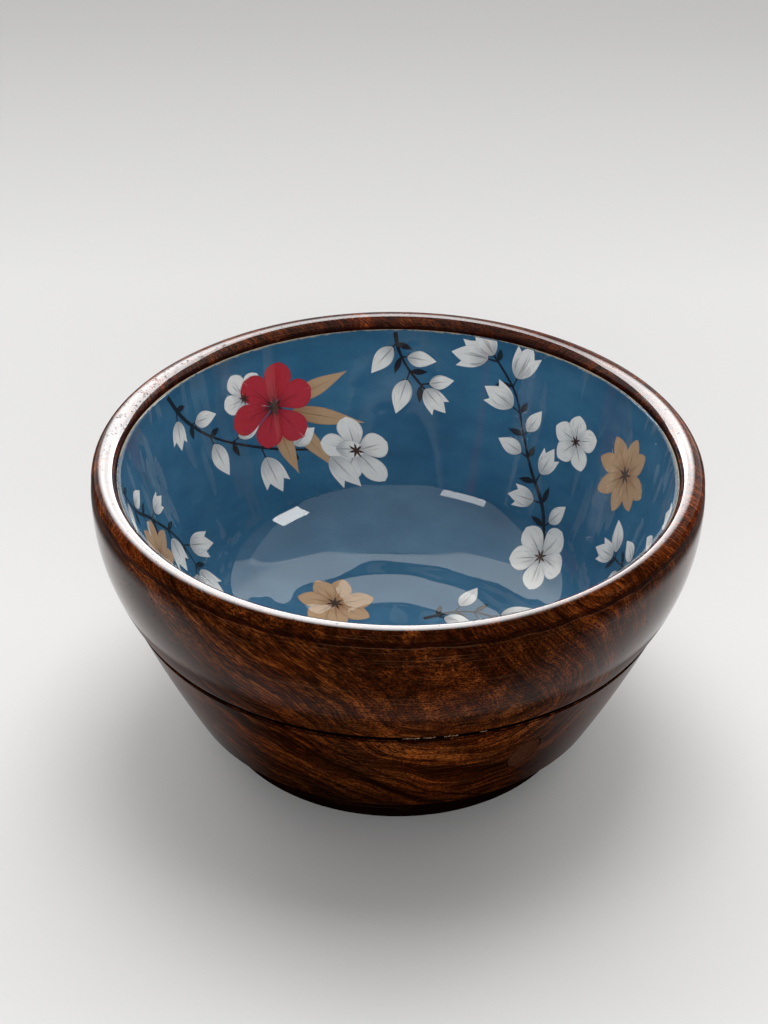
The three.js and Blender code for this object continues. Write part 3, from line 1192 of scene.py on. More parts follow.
    def lower_outside(self) -> list[Point2]:
        """The lower section's outer wall, up over the fine line and the bevel to the shoulder.

        Returns:
            The (radius, height) points, upwards.
        """
        radius = self.upper_radius(self.seam_height) - self.seam_step
        line_bottom = self.shoulder - self.bevel_height - self.fine_line
        rise, flare = line_bottom - self.foot_height, radius - self.lower_edge_radius
        chord = math.hypot(flare, rise)
        back = math.sqrt(self.lower_wall_arc**2 - (chord / 2) ** 2) / chord
        centre = (
            (radius + self.lower_edge_radius) / 2 - back * rise,
            (line_bottom + self.foot_height) / 2 + back * flare,
        )
        wall = self.rounded_wall(
            centre, self.lower_wall_arc, self.lower_edge_rounding, self.foot_height, line_bottom)
        return [
            *wall,
            (radius - self.fine_line, line_bottom + self.fine_line / 2),
            (radius, line_bottom + self.fine_line),
            (radius - self.bevel_width, self.shoulder),
        ]

    def lower_bowl(self) -> list[RingPoint]:
        """Profile of the lower section: wall, floor, tongue and the foot's groove.

        Returns:
            The profile's points, from the axis and back to it.
        """
        groove_in = self.foot_tongue - self.foot_tongue_width / 2 - self.glue_gap
        groove_out = self.foot_tongue + self.foot_tongue_width / 2 + self.glue_gap
        groove_top = self.foot_height + self.foot_tongue_height + self.glue_gap
        tongue_top = self.shoulder + self.tongue_height
        under = [
            (0.0, self.foot_height), (groove_in / 2, self.foot_height), (groove_in, self.foot_height),
            (groove_in, groove_top), (groove_out, groove_top), (groove_out, self.foot_height),
        ]
        outside = self.lower_outside()
        sagging = len(outside) - self.bevel_points
        wall = [RingPoint(r, z, sag=self.bevel_sag * (i >= sagging)) for i, (r, z) in enumerate(outside)]
        tongue = [(self.tongue_radius, self.shoulder), (self.tongue_radius, tongue_top)]
        inner = self.inside(self.set_backs["wood_face"], tongue_top)[::-1]
        return [*(RingPoint(r, z) for r, z in under), *wall, *(RingPoint(r, z) for r, z in (*tongue, *inner))]

    @property
    def foot_top(self) -> float:
        """Outer radius of the foot under the lower section."""
        return self.lower_edge_radius - self.foot_set_in

    @property
    def foot_inner(self) -> float:
        """Inner radius of the foot."""
        return self.foot_top - self.foot_taper - self.foot_width

    @property
    def foot_tongue(self) -> float:
        """Middle radius of the foot's tongue."""
        return (self.foot_top + self.foot_inner) / 2

    def foot_ring(self) -> list[RingPoint]:
        """Profile of the foot with its tongue.

        Returns:
            The closed profile's points.
        """
        floor = self.foot_top - self.foot_taper
        bevel, inner = self.foot_bevel, self.foot_inner
        tongue_in = self.foot_tongue - self.foot_tongue_width / 2
        tongue_out = self.foot_tongue + self.foot_tongue_width / 2
        top = self.foot_height + self.foot_tongue_height
        lower_round = arc((floor - bevel, bevel), bevel, -math.pi / 2, 0, self.foot_round_steps)
        steps, rise = self.foot_steps, self.foot_height - bevel
        side = [(floor + self.foot_taper * i / steps, bevel + rise * i / steps) for i in range(1, steps + 1)]
        points = [
            (inner + bevel, 0.0), *lower_round, *side,
            (tongue_out, self.foot_height), (tongue_out, top),
            (tongue_in, top), (tongue_in, self.foot_height),
            (inner, self.foot_height), (inner, bevel),
        ]
        return [RingPoint(r, z) for r, z in points]

    def layer(self, face: str, back: str, top: float, fine: int = 1) -> list[RingPoint]:
        """Profile of a layer on the inside between two of its faces.

        Args:
            face: the name of its face in the set-backs.
            back: the name of its back there.
            top: the height at which it ends.
            fine: multiplies the number of steps.

        Returns:
            The profile's points, from the axis and back to it.
        """
        behind = self.inside(self.set_backs[back], top, fine)
        front = self.inside(self.set_backs[face], top, fine)[::-1]
        return [RingPoint(r, z) for r, z in (*behind, *front)]


def dress(piece: bpy.types.Object, slot: str, material: bpy.types.Material, *nodes: str) -> bpy.types.Object:
    """Gives a piece its material and body, and hides the construction nodes that it stands for.

    Args:
        piece: the finished object.
        slot: the record's material slot; not used.
        material: what it is dressed in.
        nodes: names of the nodes that it replaces.

    Returns:
        The piece.
    """
    piece.data.materials.clear()
    piece.data.materials.append(material)
    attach(piece, BODY)
    if nodes:
        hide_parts(*nodes)
    LOG.info("%s: %d faces", piece.name, len(piece.data.polygons))
    return piece


@dataclass(frozen=True)
class WoodenBody:
    """The two turned sections, the foot and the oval patch."""

    form: BowlForm
    segments: int = 320
    patch_azimuth: float = math.radians(-60)
    patch_below_seam: float = 26.2 * MM
    patch_width: float = 12 * MM
    patch_length: float = 20 * MM
    patch_tilt: float = math.radians(12)
    patch_depth: float = 7 * MM
    patch_gap: float = 0.55 * MM
    patch_steps: int = 72
    upper_seed: float = 3.0
    lower_seed: float = 11.0
    filler_azimuths: Point2 = (-88.5, -71.5)
    filler_crumbs: int = 60
    filler_gaps: float = 0.40
    crumb_least: float = 0.17 * MM
    crumb_spread: float = 0.42 * MM
    crumb_stretch: float = 1.6
    crumb_bumps: float = 0.35
    crumb_seed: int = 7

    def build(self) -> None:
        """Builds and dresses every wooden piece."""
        upper = make_object(RIM, turned(RIM, self.form.upper_ring(), self.segments, self.upper_seed))
        dress(upper, "dark_wood", LacqueredWood("dark_wood_upper", warmth=0.5).material(), "upper_ring")
        lower_finish = LacqueredWood(
            "dark_wood_lower", shift=(5.0, 4.0, -9.0), brightness=0.95, warmth=0.9, figure=1.35, lacquer=0.55)
        lower = self._lower_section("lower_bowl_turned")
        self._cut(lower, self._patch_cutter(self.patch_gap), "DIFFERENCE")
        dress(lower, "dark_wood", lower_finish.material(), "lower_bowl")
        patch = self._lower_section("side_plug_oval")
        self._cut(patch, self._patch_cutter(0.0), "INTERSECT")
        patch_finish = PlainFill("patch_wood", (0.053, 0.0170, 0.0070), (0.034, 0.0106, 0.0042), 0.05)
        dress(patch, "patch_wood", patch_finish.material(), "side_plug")
        foot_mesh = turned("foot_ring_turned", self.form.foot_ring(), self.segments)
        foot = make_object("foot_ring_turned", foot_mesh)
        # Painted shade: the foot is a far darker copy of the wood, for the shade under the bowl's overhang.
        painted_shade_foot_finish = LacqueredWood("foot_wood", brightness=0.11, figure=0.6, lacquer=0.05)
        dress(foot, "foot_wood", painted_shade_foot_finish.material(), "foot_ring")
        self._seam_filler()

    def _lower_section(self, name: str) -> bpy.types.Object:
        """The lower section before the patch's hole is cut."""
        return make_object(name, turned(name, self.form.lower_bowl(), self.segments, self.lower_seed))

    def _patch_frame(self) -> Matrix:
        """Where the patch stands: across, up the wall and out of it, with its centre as origin.

        Returns:
            The frame as a matrix.
        """
        height = self.form.seam_height - self.patch_below_seam
        outside = self.form.lower_outside()
        above = next(i for i, point in enumerate(outside) if point[1] > height)
        low, high = outside[above - 1], outside[above]
        widening = (high[0] - low[0]) / (high[1] - low[1])
        flare = math.atan(widening)
        radius = low[0] + widening * (height - low[1])
        outward = Vector((math.cos(flare), 0, -math.sin(flare)))
        up_wall = Vector((math.sin(flare), 0, math.cos(flare)))
        across = up_wall.cross(outward)
        stand = Matrix((across, up_wall, outward)).transposed().to_4x4()
        stand.translation = Vector((radius, 0, height))
        return Matrix.Rotation(self.patch_azimuth, 4, "Z") @ stand @ Matrix.Rotation(-self.patch_tilt, 4, "Z")

    def _patch_cutter(self, clearance: float) -> bpy.types.Object:
        """Makes an oval prism that stands square to the lower wall.

        Args:
            clearance: how far it is grown all round.

        Returns:
            The prism.
        """
        made = bmesh.new()
        wide, long = self.patch_width / 2 + clearance, self.patch_length / 2 + clearance
        outline = [2 * math.pi * i / self.patch_steps for i in range(self.patch_steps)]
        bottom, top = (
            [made.verts.new((wide * math.cos(turn), long * math.sin(turn), level)) for turn in outline]
            for level in (-self.patch_depth - clearance, self.patch_width)
        )
        for i in range(self.patch_steps):
            j = (i + 1) % self.patch_steps
            made.faces.new((bottom[i], bottom[j], top[j], top[i]))
        made.faces.new(bottom[::-1])
        made.faces.new(top)
        mesh = mesh_from(made, "patch_cutter")
        mesh.transform(self._patch_frame())
        cutter = bpy.data.objects.new("patch_cutter", mesh)
        bpy.context.scene.collection.objects.link(cutter)
        return cutter

    @staticmethod
    def _cut(piece: bpy.types.Object, cutter: bpy.types.Object, operation: str) -> None:
        """Applies a boolean with a cutter and removes the cutter.

        Args:
            piece: the piece that is cut.
            cutter: the other solid.
            operation: the boolean's operation.
        """
        modifier = piece.modifiers.new("cut", "BOOLEAN")
        modifier.operation = operation
        modifier.object = cutter
        modifier.solver = "EXACT"
        depsgraph = bpy.context.evaluated_depsgraph_get()
        mesh = bpy.data.meshes.new_from_object(piece.evaluated_get(depsgraph))
        piece.modifiers.clear()
        piece.data = mesh
        mesh.name = piece.name
        mesh.set_sharp_from_angle(angle=math.radians(SHARP_EDGE))
        bpy.data.objects.remove(cutter)

    def _seam_filler(self) -> None:
        """Makes the crumbs of filler in the dark gap at the front."""
        noise.seed_set(self.crumb_seed)
        made = bmesh.new()
        low, high = (math.radians(degrees) for degrees in self.filler_azimuths)
        outside = self.form.upper_radius(self.form.seam_height) - self.form.seam_step
        for i in range(self.filler_crumbs):
            scatter = noise.cell_vector(Vector((i * 3.7, 1.3, 9.1)))
            azimuth = low + (high - low) * (i + 0.8 * scatter.x) / self.filler_crumbs
            if wander(azimuth, 5.0, 14.0) < self.filler_gaps:
                continue
            size = self.crumb_least + self.crumb_spread * scatter.y * scatter.z
            radius = outside + (0.1 - 0.6 * scatter.z) * MM
            height = self.form.shoulder + (-0.5 + 0.6 * scatter.y) * MM
            place = Matrix.Translation((radius * math.cos(azimuth), radius * math.sin(azimuth), height))
            turn = Matrix.Rotation(azimuth + scatter.x, 4, "Z")
            stretch = Matrix.Diagonal((0.7, 1.0 + self.crumb_stretch * scatter.z, 0.55, 1.0))
            matrix = place @ turn @ stretch
            lump = bmesh.ops.create_icosphere(made, subdivisions=2, radius=size, matrix=matrix)
            for vertex in lump["verts"]:
                vertex.co += noise.noise_vector(vertex.co * 2400) * size * self.crumb_bumps
        finish = PlainFill("filler_crumbs", (0.52, 0.35, 0.22), (0.17, 0.09, 0.048), 0.2)
        dress(make_object("seam_filler", mesh_from(made, "seam_filler")), "dark_wood", finish.material())


def bracket(values: Sequence[float], value: float) -> tuple[int, float]:
    """Finds the place of a value in a row of rising or falling values.

    Args:
        values: the row.
        value: the value.

    Returns:
        The index before it, and the share of the way from there to the next one.
    """
    sign = 1.0 if values[-1] > values[0] else -1.0
    low, high = 0, len(values) - 1
    while high - low > 1:
        middle = (low + high) // 2
        if (values[middle] - value) * sign <= 0:
            low = middle
        else:
            high = middle
    span = values[high] - values[low]
    share = (value - values[low]) / span if abs(span) > TINY else 0.0
    return low, min(1.0, max(0.0, share))


def amount(least_and_more: Point2, chance: float) -> float:
    """The least of a pair and, by chance from 0 to 1, a share of its second value."""
    return least_and_more[0] + least_and_more[1] * chance


def height_at(radii: Sequence[float], heights: Sequence[float], radius: float) -> float:
    """Height of a rising profile at a radius, between its points."""
    low, share = bracket(radii, radius)
    return heights[low] + (heights[low + 1] - heights[low]) * share


def ease(value: float, low: float, high: float) -> float:
    """Goes smoothly from 0 to 1 as a value goes from low to high."""
    share = min(1.0, max(0.0, (value - low) / (high - low)))
    return share * share * (3 - 2 * share)


def hump(value: float, rise: Point2, fall: Point2) -> float:
    """Goes smoothly from 0 to 1 over one range and back to 0 over another."""
    return ease(value, *rise) * (1 - ease(value, *fall))


@dataclass(frozen=True)
class SheetFace:
    """The printed sheet's face, on which every printed shape is laid."""

    form: BowlForm
    fine: int = 3

    @cached_property
    def table(self) -> tuple[tuple[float, ...], ...]:
        """Measures the face from its cut edge down and in to the axis.

        Returns:
            A row each for the way from the edge, the radius, the height and the face's lean.
        """
        points = self.form.inside(self.form.set_backs["sheet_face"], self.form.sheet_top, self.fine)[::-1]
        found, way = [], 0.0
        for i, (radius, height) in enumerate(points):
            before, after = points[max(i - 1, 0)], points[min(i + 1, len(points) - 1)]
            if i:
                way += math.dist(points[i - 1], points[i])
            found.append((way, radius, height, direction(before, after) % math.tau))
        return tuple(zip(*found))

    def between(self, row: int, value: float) -> tuple[float, ...]:
        """Radius, height and lean of the face where a row of the table has a value."""
        low, share = bracket(self.table[row], value)
        return tuple(values[low] + (values[low + 1] - values[low]) * share for values in self.table[1:])


@dataclass(frozen=True)
class Chart:
    """A flat drawing area in millimetres that is laid on the sheet's face."""

    face: SheetFace

    @staticmethod
    def stand(radius: float, height: float, lean: float, azimuth: float, lift: float) -> Vector:
        """A point of the face, lifted off it towards the bowl's inside."""
        reach = radius + math.sin(lean) * lift
        return Vector((reach * math.cos(azimuth), reach * math.sin(azimuth), height - math.cos(lean) * lift))

    def lay(self, x: float, y: float, lift: float) -> Vector:
        """The place on the bowl of a point of the drawing."""
        raise NotImplementedError


@dataclass(frozen=True)
class WallChart(Chart):
    """A drawing area on the wall: x to the right and y up, seen from inside."""

    azimuth: float
    depth: float
    edge_margin: float = 0.35 * MM
    least_radius: float = 20 * MM

    def lay(self, x: float, y: float, lift: float) -> Vector:
        """Finds the place on the bowl of a point of the drawing.

        Args:
            x: to the right, in millimetres.
            y: up, in millimetres.
            lift: how far it lies over the sheet, in metres.

        Returns:
            The place.
        """
        radius, height, lean = self.face.between(0, max((self.depth - y) * MM, self.edge_margin))
        azimuth = math.radians(self.azimuth) - x * MM / max(radius, self.least_radius)
        return self.stand(radius, height, lean, azimuth, lift)


@dataclass(frozen=True)
class FloorChart(Chart):
    """A drawing area on the floor, seen from above, turned by an angle in degrees."""

    x: float
    y: float
    turn: float = 0.0

    def lay(self, x: float, y: float, lift: float) -> Vector:
        """Finds the place on the bowl of a point of the drawing.

        Args:
            x: to the right, in millimetres.
            y: away, in millimetres.
            lift: how far it lies over the sheet, in metres.

        Returns:
            The place.
        """
        spot = Vector((x, y)) * MM
        spot.rotate(Matrix.Rotation(math.radians(self.turn), 2))
        across, away = self.x * MM + spot.x, self.y * MM + spot.y
        _, height, lean = self.face.between(1, math.hypot(across, away))
        return self.stand(math.hypot(across, away), height, lean, math.atan2(away, across), lift)


class PetalShape(Enum):
    """Outlines of printed petals and leaves: width curve, tip curve and notch."""

    BUD = (0.78, 0.95, 0.0)
    ROUND = (1.45, 0.62, 0.0)
    NOTCHED = (1.75, 0.60, 0.20)
    LANCE = (0.72, 1.10, 0.0)
    SPOON = (1.25, 0.75, 0.06)
    LEAF = (0.85, 1.0, 0.0)

    def half_width(self, along: float) -> float:
        """Half the width, from 0 to 1, at a share of the length."""
        waist, fullness, _ = self.value
        return max(0.0, math.sin(math.pi * min(1.0, along) ** waist)) ** fullness

    @property
    def notch(self) -> float:
        """How deep the tip is notched, as a share of the length."""
        return self.value[2]


def turned_point(point: Point2, degrees: float) -> Point2:
    """A point of a drawing turned about its origin."""
    x, y, cosine, sine = *point, math.cos(math.radians(degrees)), math.sin(math.radians(degrees))
    return x * cosine - y * sine, x * sine + y * cosine


def ahead(start: Point2, heading: float, reach: float) -> Point2:
    """The point at a distance from another, along a heading in degrees."""
    across, up = turned_point((reach, 0.0), heading)
    return start[0] + across, start[1] + up


def smooth_line(points: Sequence[Point2], steps: int) -> list[Point2]:
    """Draws a smooth line through points, by Catmull and Rom's spline.

    Args:
        points: the points.
        steps: how many steps it takes from one point to the next.

    Returns:
        The line's points.
    """
    padded = [points[0], *points, points[-1]]
    line = []
    for a, b, c, d in zip(padded, padded[1:], padded[2:], padded[3:]):
        for i in range(steps):
            t = i / steps
            line.append(tuple(
                0.5 * (2 * q + (r - p) * t
                       + (2 * p - 5 * q + 4 * r - s) * t**2 + (3 * q - p - 3 * r + s) * t**3)
                for p, q, r, s in zip(a, b, c, d)
            ))
    line.append(tuple(points[-1]))
    return line


class InkLayer:
    """Gathers the printed shapes of one ink as thin closed slabs on the sheet."""

    SLAB = 0.03 * MM
    STEP = 0.002 * MM
    LEVELS = 9
    THINNEST = 0.1
    PETAL_STEPS, PETAL_COLUMNS = 14, 9
    PETAL_FOOT = 0.015
    STROKE_STEPS = 7
    SWELL, SWELL_CYCLES = 0.18, 9.0

    def __init__(self, name: str, lift: float, ink: Ink) -> None:
        """Starts an empty layer.

        Args:
            name: the piece's name.
            lift: how high its face lies over the sheet, in millimetres.
            ink: its finish.
        """
        self.name, self.lift, self.ink = name, lift * MM, ink
        self.mesh = bmesh.new()
        self.uv = self.mesh.loops.layers.uv.new("petal")
        self.count = 0

    def slab(self, chart: Chart, rows: list[list[tuple[float, float, float, float]]]) -> None:
        """Adds one closed slab from a grid of (x, y, u, v) points.

        Args:
            chart: the drawing area.
            rows: the grid, all rows of one length.
        """
        face = self.lift + self.STEP * (self.count % self.LEVELS)
        self.count += 1
        top, under = (
            [[self.mesh.verts.new(chart.lay(x, y, lift)) for x, y, _, _ in row] for row in rows]
            for lift in (face, self.lift - self.SLAB)
        )
        marks = [[(u, v) for _, _, u, v in row] for row in rows]
        last, edge = len(rows) - 1, len(rows[0]) - 1
        for i in range(last):
            for j in range(edge):
                spots = [(i, j), (i, j + 1), (i + 1, j + 1), (i + 1, j)]
                self._face([top[a][b] for a, b in spots], [marks[a][b] for a, b in spots])
                self._face([under[a][b] for a, b in spots[::-1]], [marks[a][b] for a, b in spots[::-1]])
        border = [(0, j) for j in range(edge + 1)] + [(i, edge) for i in range(1, last + 1)]
        border += [(last, j) for j in range(edge - 1, -1, -1)] + [(i, 0) for i in range(last - 1, 0, -1)]
        for (a, b), (c, d) in zip(border, border[1:] + border[:1]):
            corners = [under[a][b], under[c][d], top[c][d], top[a][b]]
            self._face(corners, [marks[a][b], marks[c][d], marks[c][d], marks[a][b]])

    def _face(self, corners: list[bmesh.types.BMVert], marks: list[Point2]) -> None:
        """Adds one face.

        Args:
            corners: its corners.
            marks: their petal coordinates.
        """
        made = self.mesh.faces.new(corners)
        for loop, mark in zip(made.loops, marks):
            loop[self.uv].uv = mark

    def petal(self, chart: Chart, base: Point2, heading: float, length: float, width: float,
              shape: PetalShape, curl: float = 0.0) -> None:
        """Adds one petal or leaf.

        Args:
            chart: the drawing area.
            base: its foot, in millimetres.
            heading: the way that it points, in degrees from the drawing's x.
            length: in millimetres.
            width: in millimetres.
            shape: its outline.
            curl: how far its tip swings aside, as a share of its length.
        """
        rows = []
        for i in range(self.PETAL_STEPS + 1):
            along = self.PETAL_FOOT + (1 - self.PETAL_FOOT) * i / self.PETAL_STEPS
            half = max(self.THINNEST, width / 2 * shape.half_width(along))
            swing = curl * length * along**2
            row = []
            for j in range(self.PETAL_COLUMNS):
                side = 2 * j / (self.PETAL_COLUMNS - 1) - 1
                reach = length * along * (1 - shape.notch * (1 - abs(side)) ** 1.5 * along**4)
                x, y = turned_point((reach, half * side + swing), heading)
                row.append((base[0] + x, base[1] + y, (side + 1) / 2, along))
            rows.append(row)
        self.slab(chart, rows)

    def stroke(self, chart: Chart, points: Sequence[Point2], start: float, end: float) -> None:
        """Adds a brush stroke along a smooth line.

        Args:
            chart: the drawing area.
            points: the line's points, in millimetres.
            start: its width where it starts.
            end: its width where it ends.
        """
        line = smooth_line(points, self.STROKE_STEPS)
        rows = []
        for i, (x, y) in enumerate(line):
            turn = direction(line[max(i - 1, 0)], line[min(i + 1, len(line) - 1)])
            share = i / (len(line) - 1)
            swell = 1 + self.SWELL * math.sin(self.SWELL_CYCLES * share + points[0][0])
            half = (start + (end - start) * share) / 2 * swell
            rows.append([
                (x - math.sin(turn) * half * side, y + math.cos(turn) * half * side, (side + 1) / 2, share)
                for side in (-1.0, 0.0, 1.0)
            ])
        self.slab(chart, rows)

    def build(self) -> None:
        """Makes the piece from what was gathered."""
        bmesh.ops.recalc_face_normals(self.mesh, faces=self.mesh.faces)
        dress(make_object(self.name, mesh_from(self.mesh, self.name)), "printed_sheet", self.ink.material())


@dataclass(frozen=True)
class Bloom:
    """An open blossom: its ink, middle and petals, with the first petal's heading in degrees."""

    ink: str
    centre: Point2
    petals: int
    length: float
    width: float
    shape: PetalShape
    heading: float


@dataclass(frozen=True)
class Spray:
    """Blossoms on a drawing area, and a twig with buds where it has a line."""

    chart: Chart
    blooms: Sequence[Bloom]
    line: Sequence[Point2] = ()
    buds: int = 7
    bud: float = 15.0
    seed: int = 0


@dataclass(frozen=True)
class BlossomPrint:
    """The printed design: trailing twigs with buds, blossoms and leaves, of this model's own making.

    Lengths are in millimetres and angles in degrees. A pair for a bud, a leaf, a stalk or a petal is the
    least amount and what chance can add to it.
    """

    face: SheetFace
    twig_widths: Point2 = (1.8, 0.8)
    stalk_widths: Point2 = (0.8, 0.6)
    twig_steps: int = 12
    stalk_length: Point2 = (2.4, 3.2)
    bud_lean: Point2 = (38.0, 22.0)
    bud_size: Point2 = (0.78, 0.40)
    bud_opens: float = 0.62
    bud_width: float = 0.56
    side_petal: tuple[float, float, float, float] = (19.0, 0.86, 0.36, 0.10)
    cup_leaf: tuple[float, float, float] = (34.0, 0.26, 0.15)
    leaf_lean: float = 50.0
    leaf_length: Point2 = (5.5, 3.0)
    leaf_width: float = 2.8
    petal_length: Point2 = (0.90, 0.2)
    petal_scatter: float = 10.0
    stamens: int = 7
    stamen: tuple[float, float, float] = (20.0, 0.24, 0.07)

    @cached_property
    def layers(self) -> dict[str, InkLayer]:
        """Starts a layer for each ink and use.

        Returns:
            The layers by their short names.
        """
        ivory = Ink("ivory_ink", (0.97, 0.95, 0.90), (0.50, 0.51, 0.51), (0.12, 0.13, 0.14), 0.55, 0.6)
        tan = Ink("tan_ink", (0.60, 0.38, 0.21), (0.36, 0.17, 0.07), (0.22, 0.09, 0.03), 0.5, 0.6)
        red = Ink("red_ink", (0.56, 0.030, 0.045), (0.20, 0.006, 0.012), (0.14, 0.004, 0.008), 0.45, 0.6)
        dark = Ink("twig_ink", (0.014, 0.016, 0.024), (0.008, 0.009, 0.014), (0.03, 0.03, 0.03), 0.3, 0.2)
        eye = Ink("eye_ink", (0.05, 0.018, 0.012), (0.02, 0.008, 0.006), (0.3, 0.14, 0.04), 0.3, 0.3)
        return {
            "stems": InkLayer("print_stems", 0.08, dark),
            "leaves": InkLayer("print_small_leaves", 0.10, dark),
            "tan_leaves": InkLayer("print_tan_leaves", 0.125, tan),
            "buds": InkLayer("print_ivory_buds", 0.15, ivory),
            "ivory": InkLayer("print_ivory_blossoms", 0.17, ivory),
            "tan": InkLayer("print_tan_blossoms", 0.17, tan),
            "red": InkLayer("print_red_blossoms", 0.19, red),
            "eyes": InkLayer("print_blossom_eyes", 0.22, eye),
        }

    def build(self) -> None:
        """Draws the whole design and builds a piece for each layer."""
        big = WallChart(self.face, 122.0, 28.0)
        for heading, length, curl in (
            (-24.0, 34.0, 0.10), (-52.0, 32.0, -0.08), (10.0, 29.0, 0.12), (-84.0, 24.0, 0.1),
        ):
            foot = ahead((0.0, 0.0), heading, 9.0)
            self.layers["tan_leaves"].petal(big, foot, heading, length, 8.0, PetalShape.LANCE, curl)
        for spray in (*self._seen_sprays(big), *self._hidden_sprays()):
            if spray.line:
                self._twig(spray)
            for bloom in spray.blooms:
                self._blossom(spray.chart, bloom)
        for layer in self.layers.values():
            layer.build()

    def _seen_sprays(self, big: Chart) -> list[Spray]:
        """Lists the sprays that the camera sees, in the order in which they are drawn.

        Args:
            big: the drawing area of the large red blossom.

        Returns:
            The sprays.
        """
        wall, floor = partial(WallChart, self.face), partial(FloorChart, self.face)
        wide, spoon = PetalShape.ROUND, PetalShape.SPOON
        return [
            Spray(
                wall(142.0, 40.0),
                [Bloom("ivory", (68.0, -15.0), 5, 15.0, 11.5, wide, 12.0),
                 Bloom("ivory", (24.0, 20.0), 5, 12.0, 9.5, wide, 40.0)],
                [(-18.0, 38.0), (-11.0, 24.0), (2.0, 10.0), (19.0, -1.0), (38.0, -9.0), (59.0, -13.0)],
                seed=5),
            Spray(big, [Bloom("red", (0.0, 0.0), 6, 20.0, 13.5, PetalShape.NOTCHED, 8.0)]),
            Spray(
                wall(52.0, 44.0),
                [Bloom("ivory", (20.0, -42.0), 5, 15.0, 12.0, wide, 70.0),
                 Bloom("ivory", (19.0, 12.0), 5, 12.0, 10.0, spoon, 20.0)],
                [(18.0, -36.0), (11.0, -22.0), (0.0, -9.0), (-9.0, 6.0), (-17.0, 22.0), (-31.0, 37.0)],
                buds=8, seed=9),
            Spray(wall(22.0, 30.0), [Bloom("tan", (0.0, 0.0), 8, 18.0, 9.0, spoon, 5.0)]),
            Spray(wall(88.0, 10.0), [], [(-6.0, 9.0), (-4.0, 0.0), (1.0, -9.0), (8.0, -17.0)], 4, 14.0, 3),
            Spray(floor(-27.0, 30.0, 20.0), [Bloom("tan", (0.0, 0.0), 7, 17.0, 10.0, spoon, 0.0)]),
            Spray(
                floor(12.0, 22.0, -20.0), [],
                [(0.0, 0.0), (9.0, 7.0), (20.0, 10.0), (31.0, 8.0)], 4, 13.0, 2),
            Spray(
                wall(176.0, 34.0), [Bloom("tan", (-10.0, -14.0), 8, 16.0, 8.2, spoon, 12.0)],
                [(-22.0, 32.0), (-14.0, 14.0), (0.0, 0.0), (14.0, -20.0), (16.0, -40.0)], seed=6),
            Spray(
                wall(-6.0, 38.0), [Bloom("ivory", (16.0, -8.0), 5, 14.0, 11.0, wide, 33.0)],
                [(24.0, 36.0), (12.0, 18.0), (2.0, 0.0), (-12.0, -16.0), (-28.0, -22.0)], seed=8),
        ]

    def _hidden_sprays(self) -> list[Spray]:
        """Lists the sprays on the near wall, which the camera doesn't see.

        Returns:
            The sprays.
        """
        kinds = (("ivory", PetalShape.ROUND), ("red", PetalShape.NOTCHED), ("tan", PetalShape.SPOON))
        line = [(-30.0, 30.0), (-18.0, 10.0), (-2.0, -2.0), (16.0, -6.0), (34.0, -20.0)]
        found = []
        for azimuth, depth, seed in ((222.0, 40.0, 4), (262.0, 36.0, 7), (302.0, 44.0, 1)):
            ink, shape = kinds[seed % 3]
            bloom = Bloom(ink, (4.0, 20.0), 5 + seed % 2, 16.0, 11.0, shape, 15.0 * seed)
            found.append(Spray(WallChart(self.face, azimuth, depth), [bloom], line, seed=seed))
        return found

    def _twig(self, spray: Spray) -> None:
        """Draws a twig with buds on alternate sides and small dark leaves between them.

        Args:
            spray: the twig's spray.
        """
        stems, chart = self.layers["stems"], spray.chart
        stems.stroke(chart, spray.line, *self.twig_widths)
        line = smooth_line(spray.line, self.twig_steps)
        for k in range(spray.buds):
            scatter = noise.cell_vector(Vector((k * 1.9, spray.seed * 5.3, 0.7)))
            spot = min(len(line) - 2, int(len(line) * (k + 0.85) / (spray.buds + 0.35)))
            here = line[spot]
            way = math.degrees(direction(line[spot - 1], line[spot + 1]))
            side = 1.0 if k % 2 else -1.0
            heading = way + side * amount(self.bud_lean, scatter.x)
            foot = ahead(here, heading, amount(self.stalk_length, scatter.y))
            stems.stroke(chart, [here, foot], *self.stalk_widths)
            size = spray.bud * amount(self.bud_size, scatter.z)
            self._bud(chart, foot, heading, size, scatter.y > self.bud_opens)
            away = way - side * self.leaf_lean
            length = amount(self.leaf_length, scatter.x)
            self.layers["leaves"].petal(
                chart, ahead(here, away, 0.4), away, length, self.leaf_width, PetalShape.LEAF, 0.08)
        self._bud(chart, line[-1], math.degrees(direction(line[-3], line[-1])), spray.bud, True)

    def _bud(self, chart: Chart, foot: Point2, heading: float, size: float, opening: bool) -> None:
        """Draws a plump bud in a small dark cup, with side petals where it is opening.

        Args:
            chart: the drawing area.
            foot: where it sits on its stalk.
            heading: the way that it points, in degrees.
            size: its length.
            opening: whether side petals show.
        """
        if opening:
            lean, long, wide, curl = self.side_petal
            for side in (-1.0, 1.0):
                self.layers["buds"].petal(
                    chart, foot, heading + lean * side, size * long, size * wide, PetalShape.BUD, curl * side)
        self.layers["ivory"].petal(chart, foot, heading, size, size * self.bud_width, PetalShape.BUD, 0.03)
        lean, long, wide = self.cup_leaf
        for side in (-1.0, 1.0):
            self.layers["leaves"].petal(
                chart, foot, heading + lean * side, size * long, size * wide, PetalShape.LEAF)

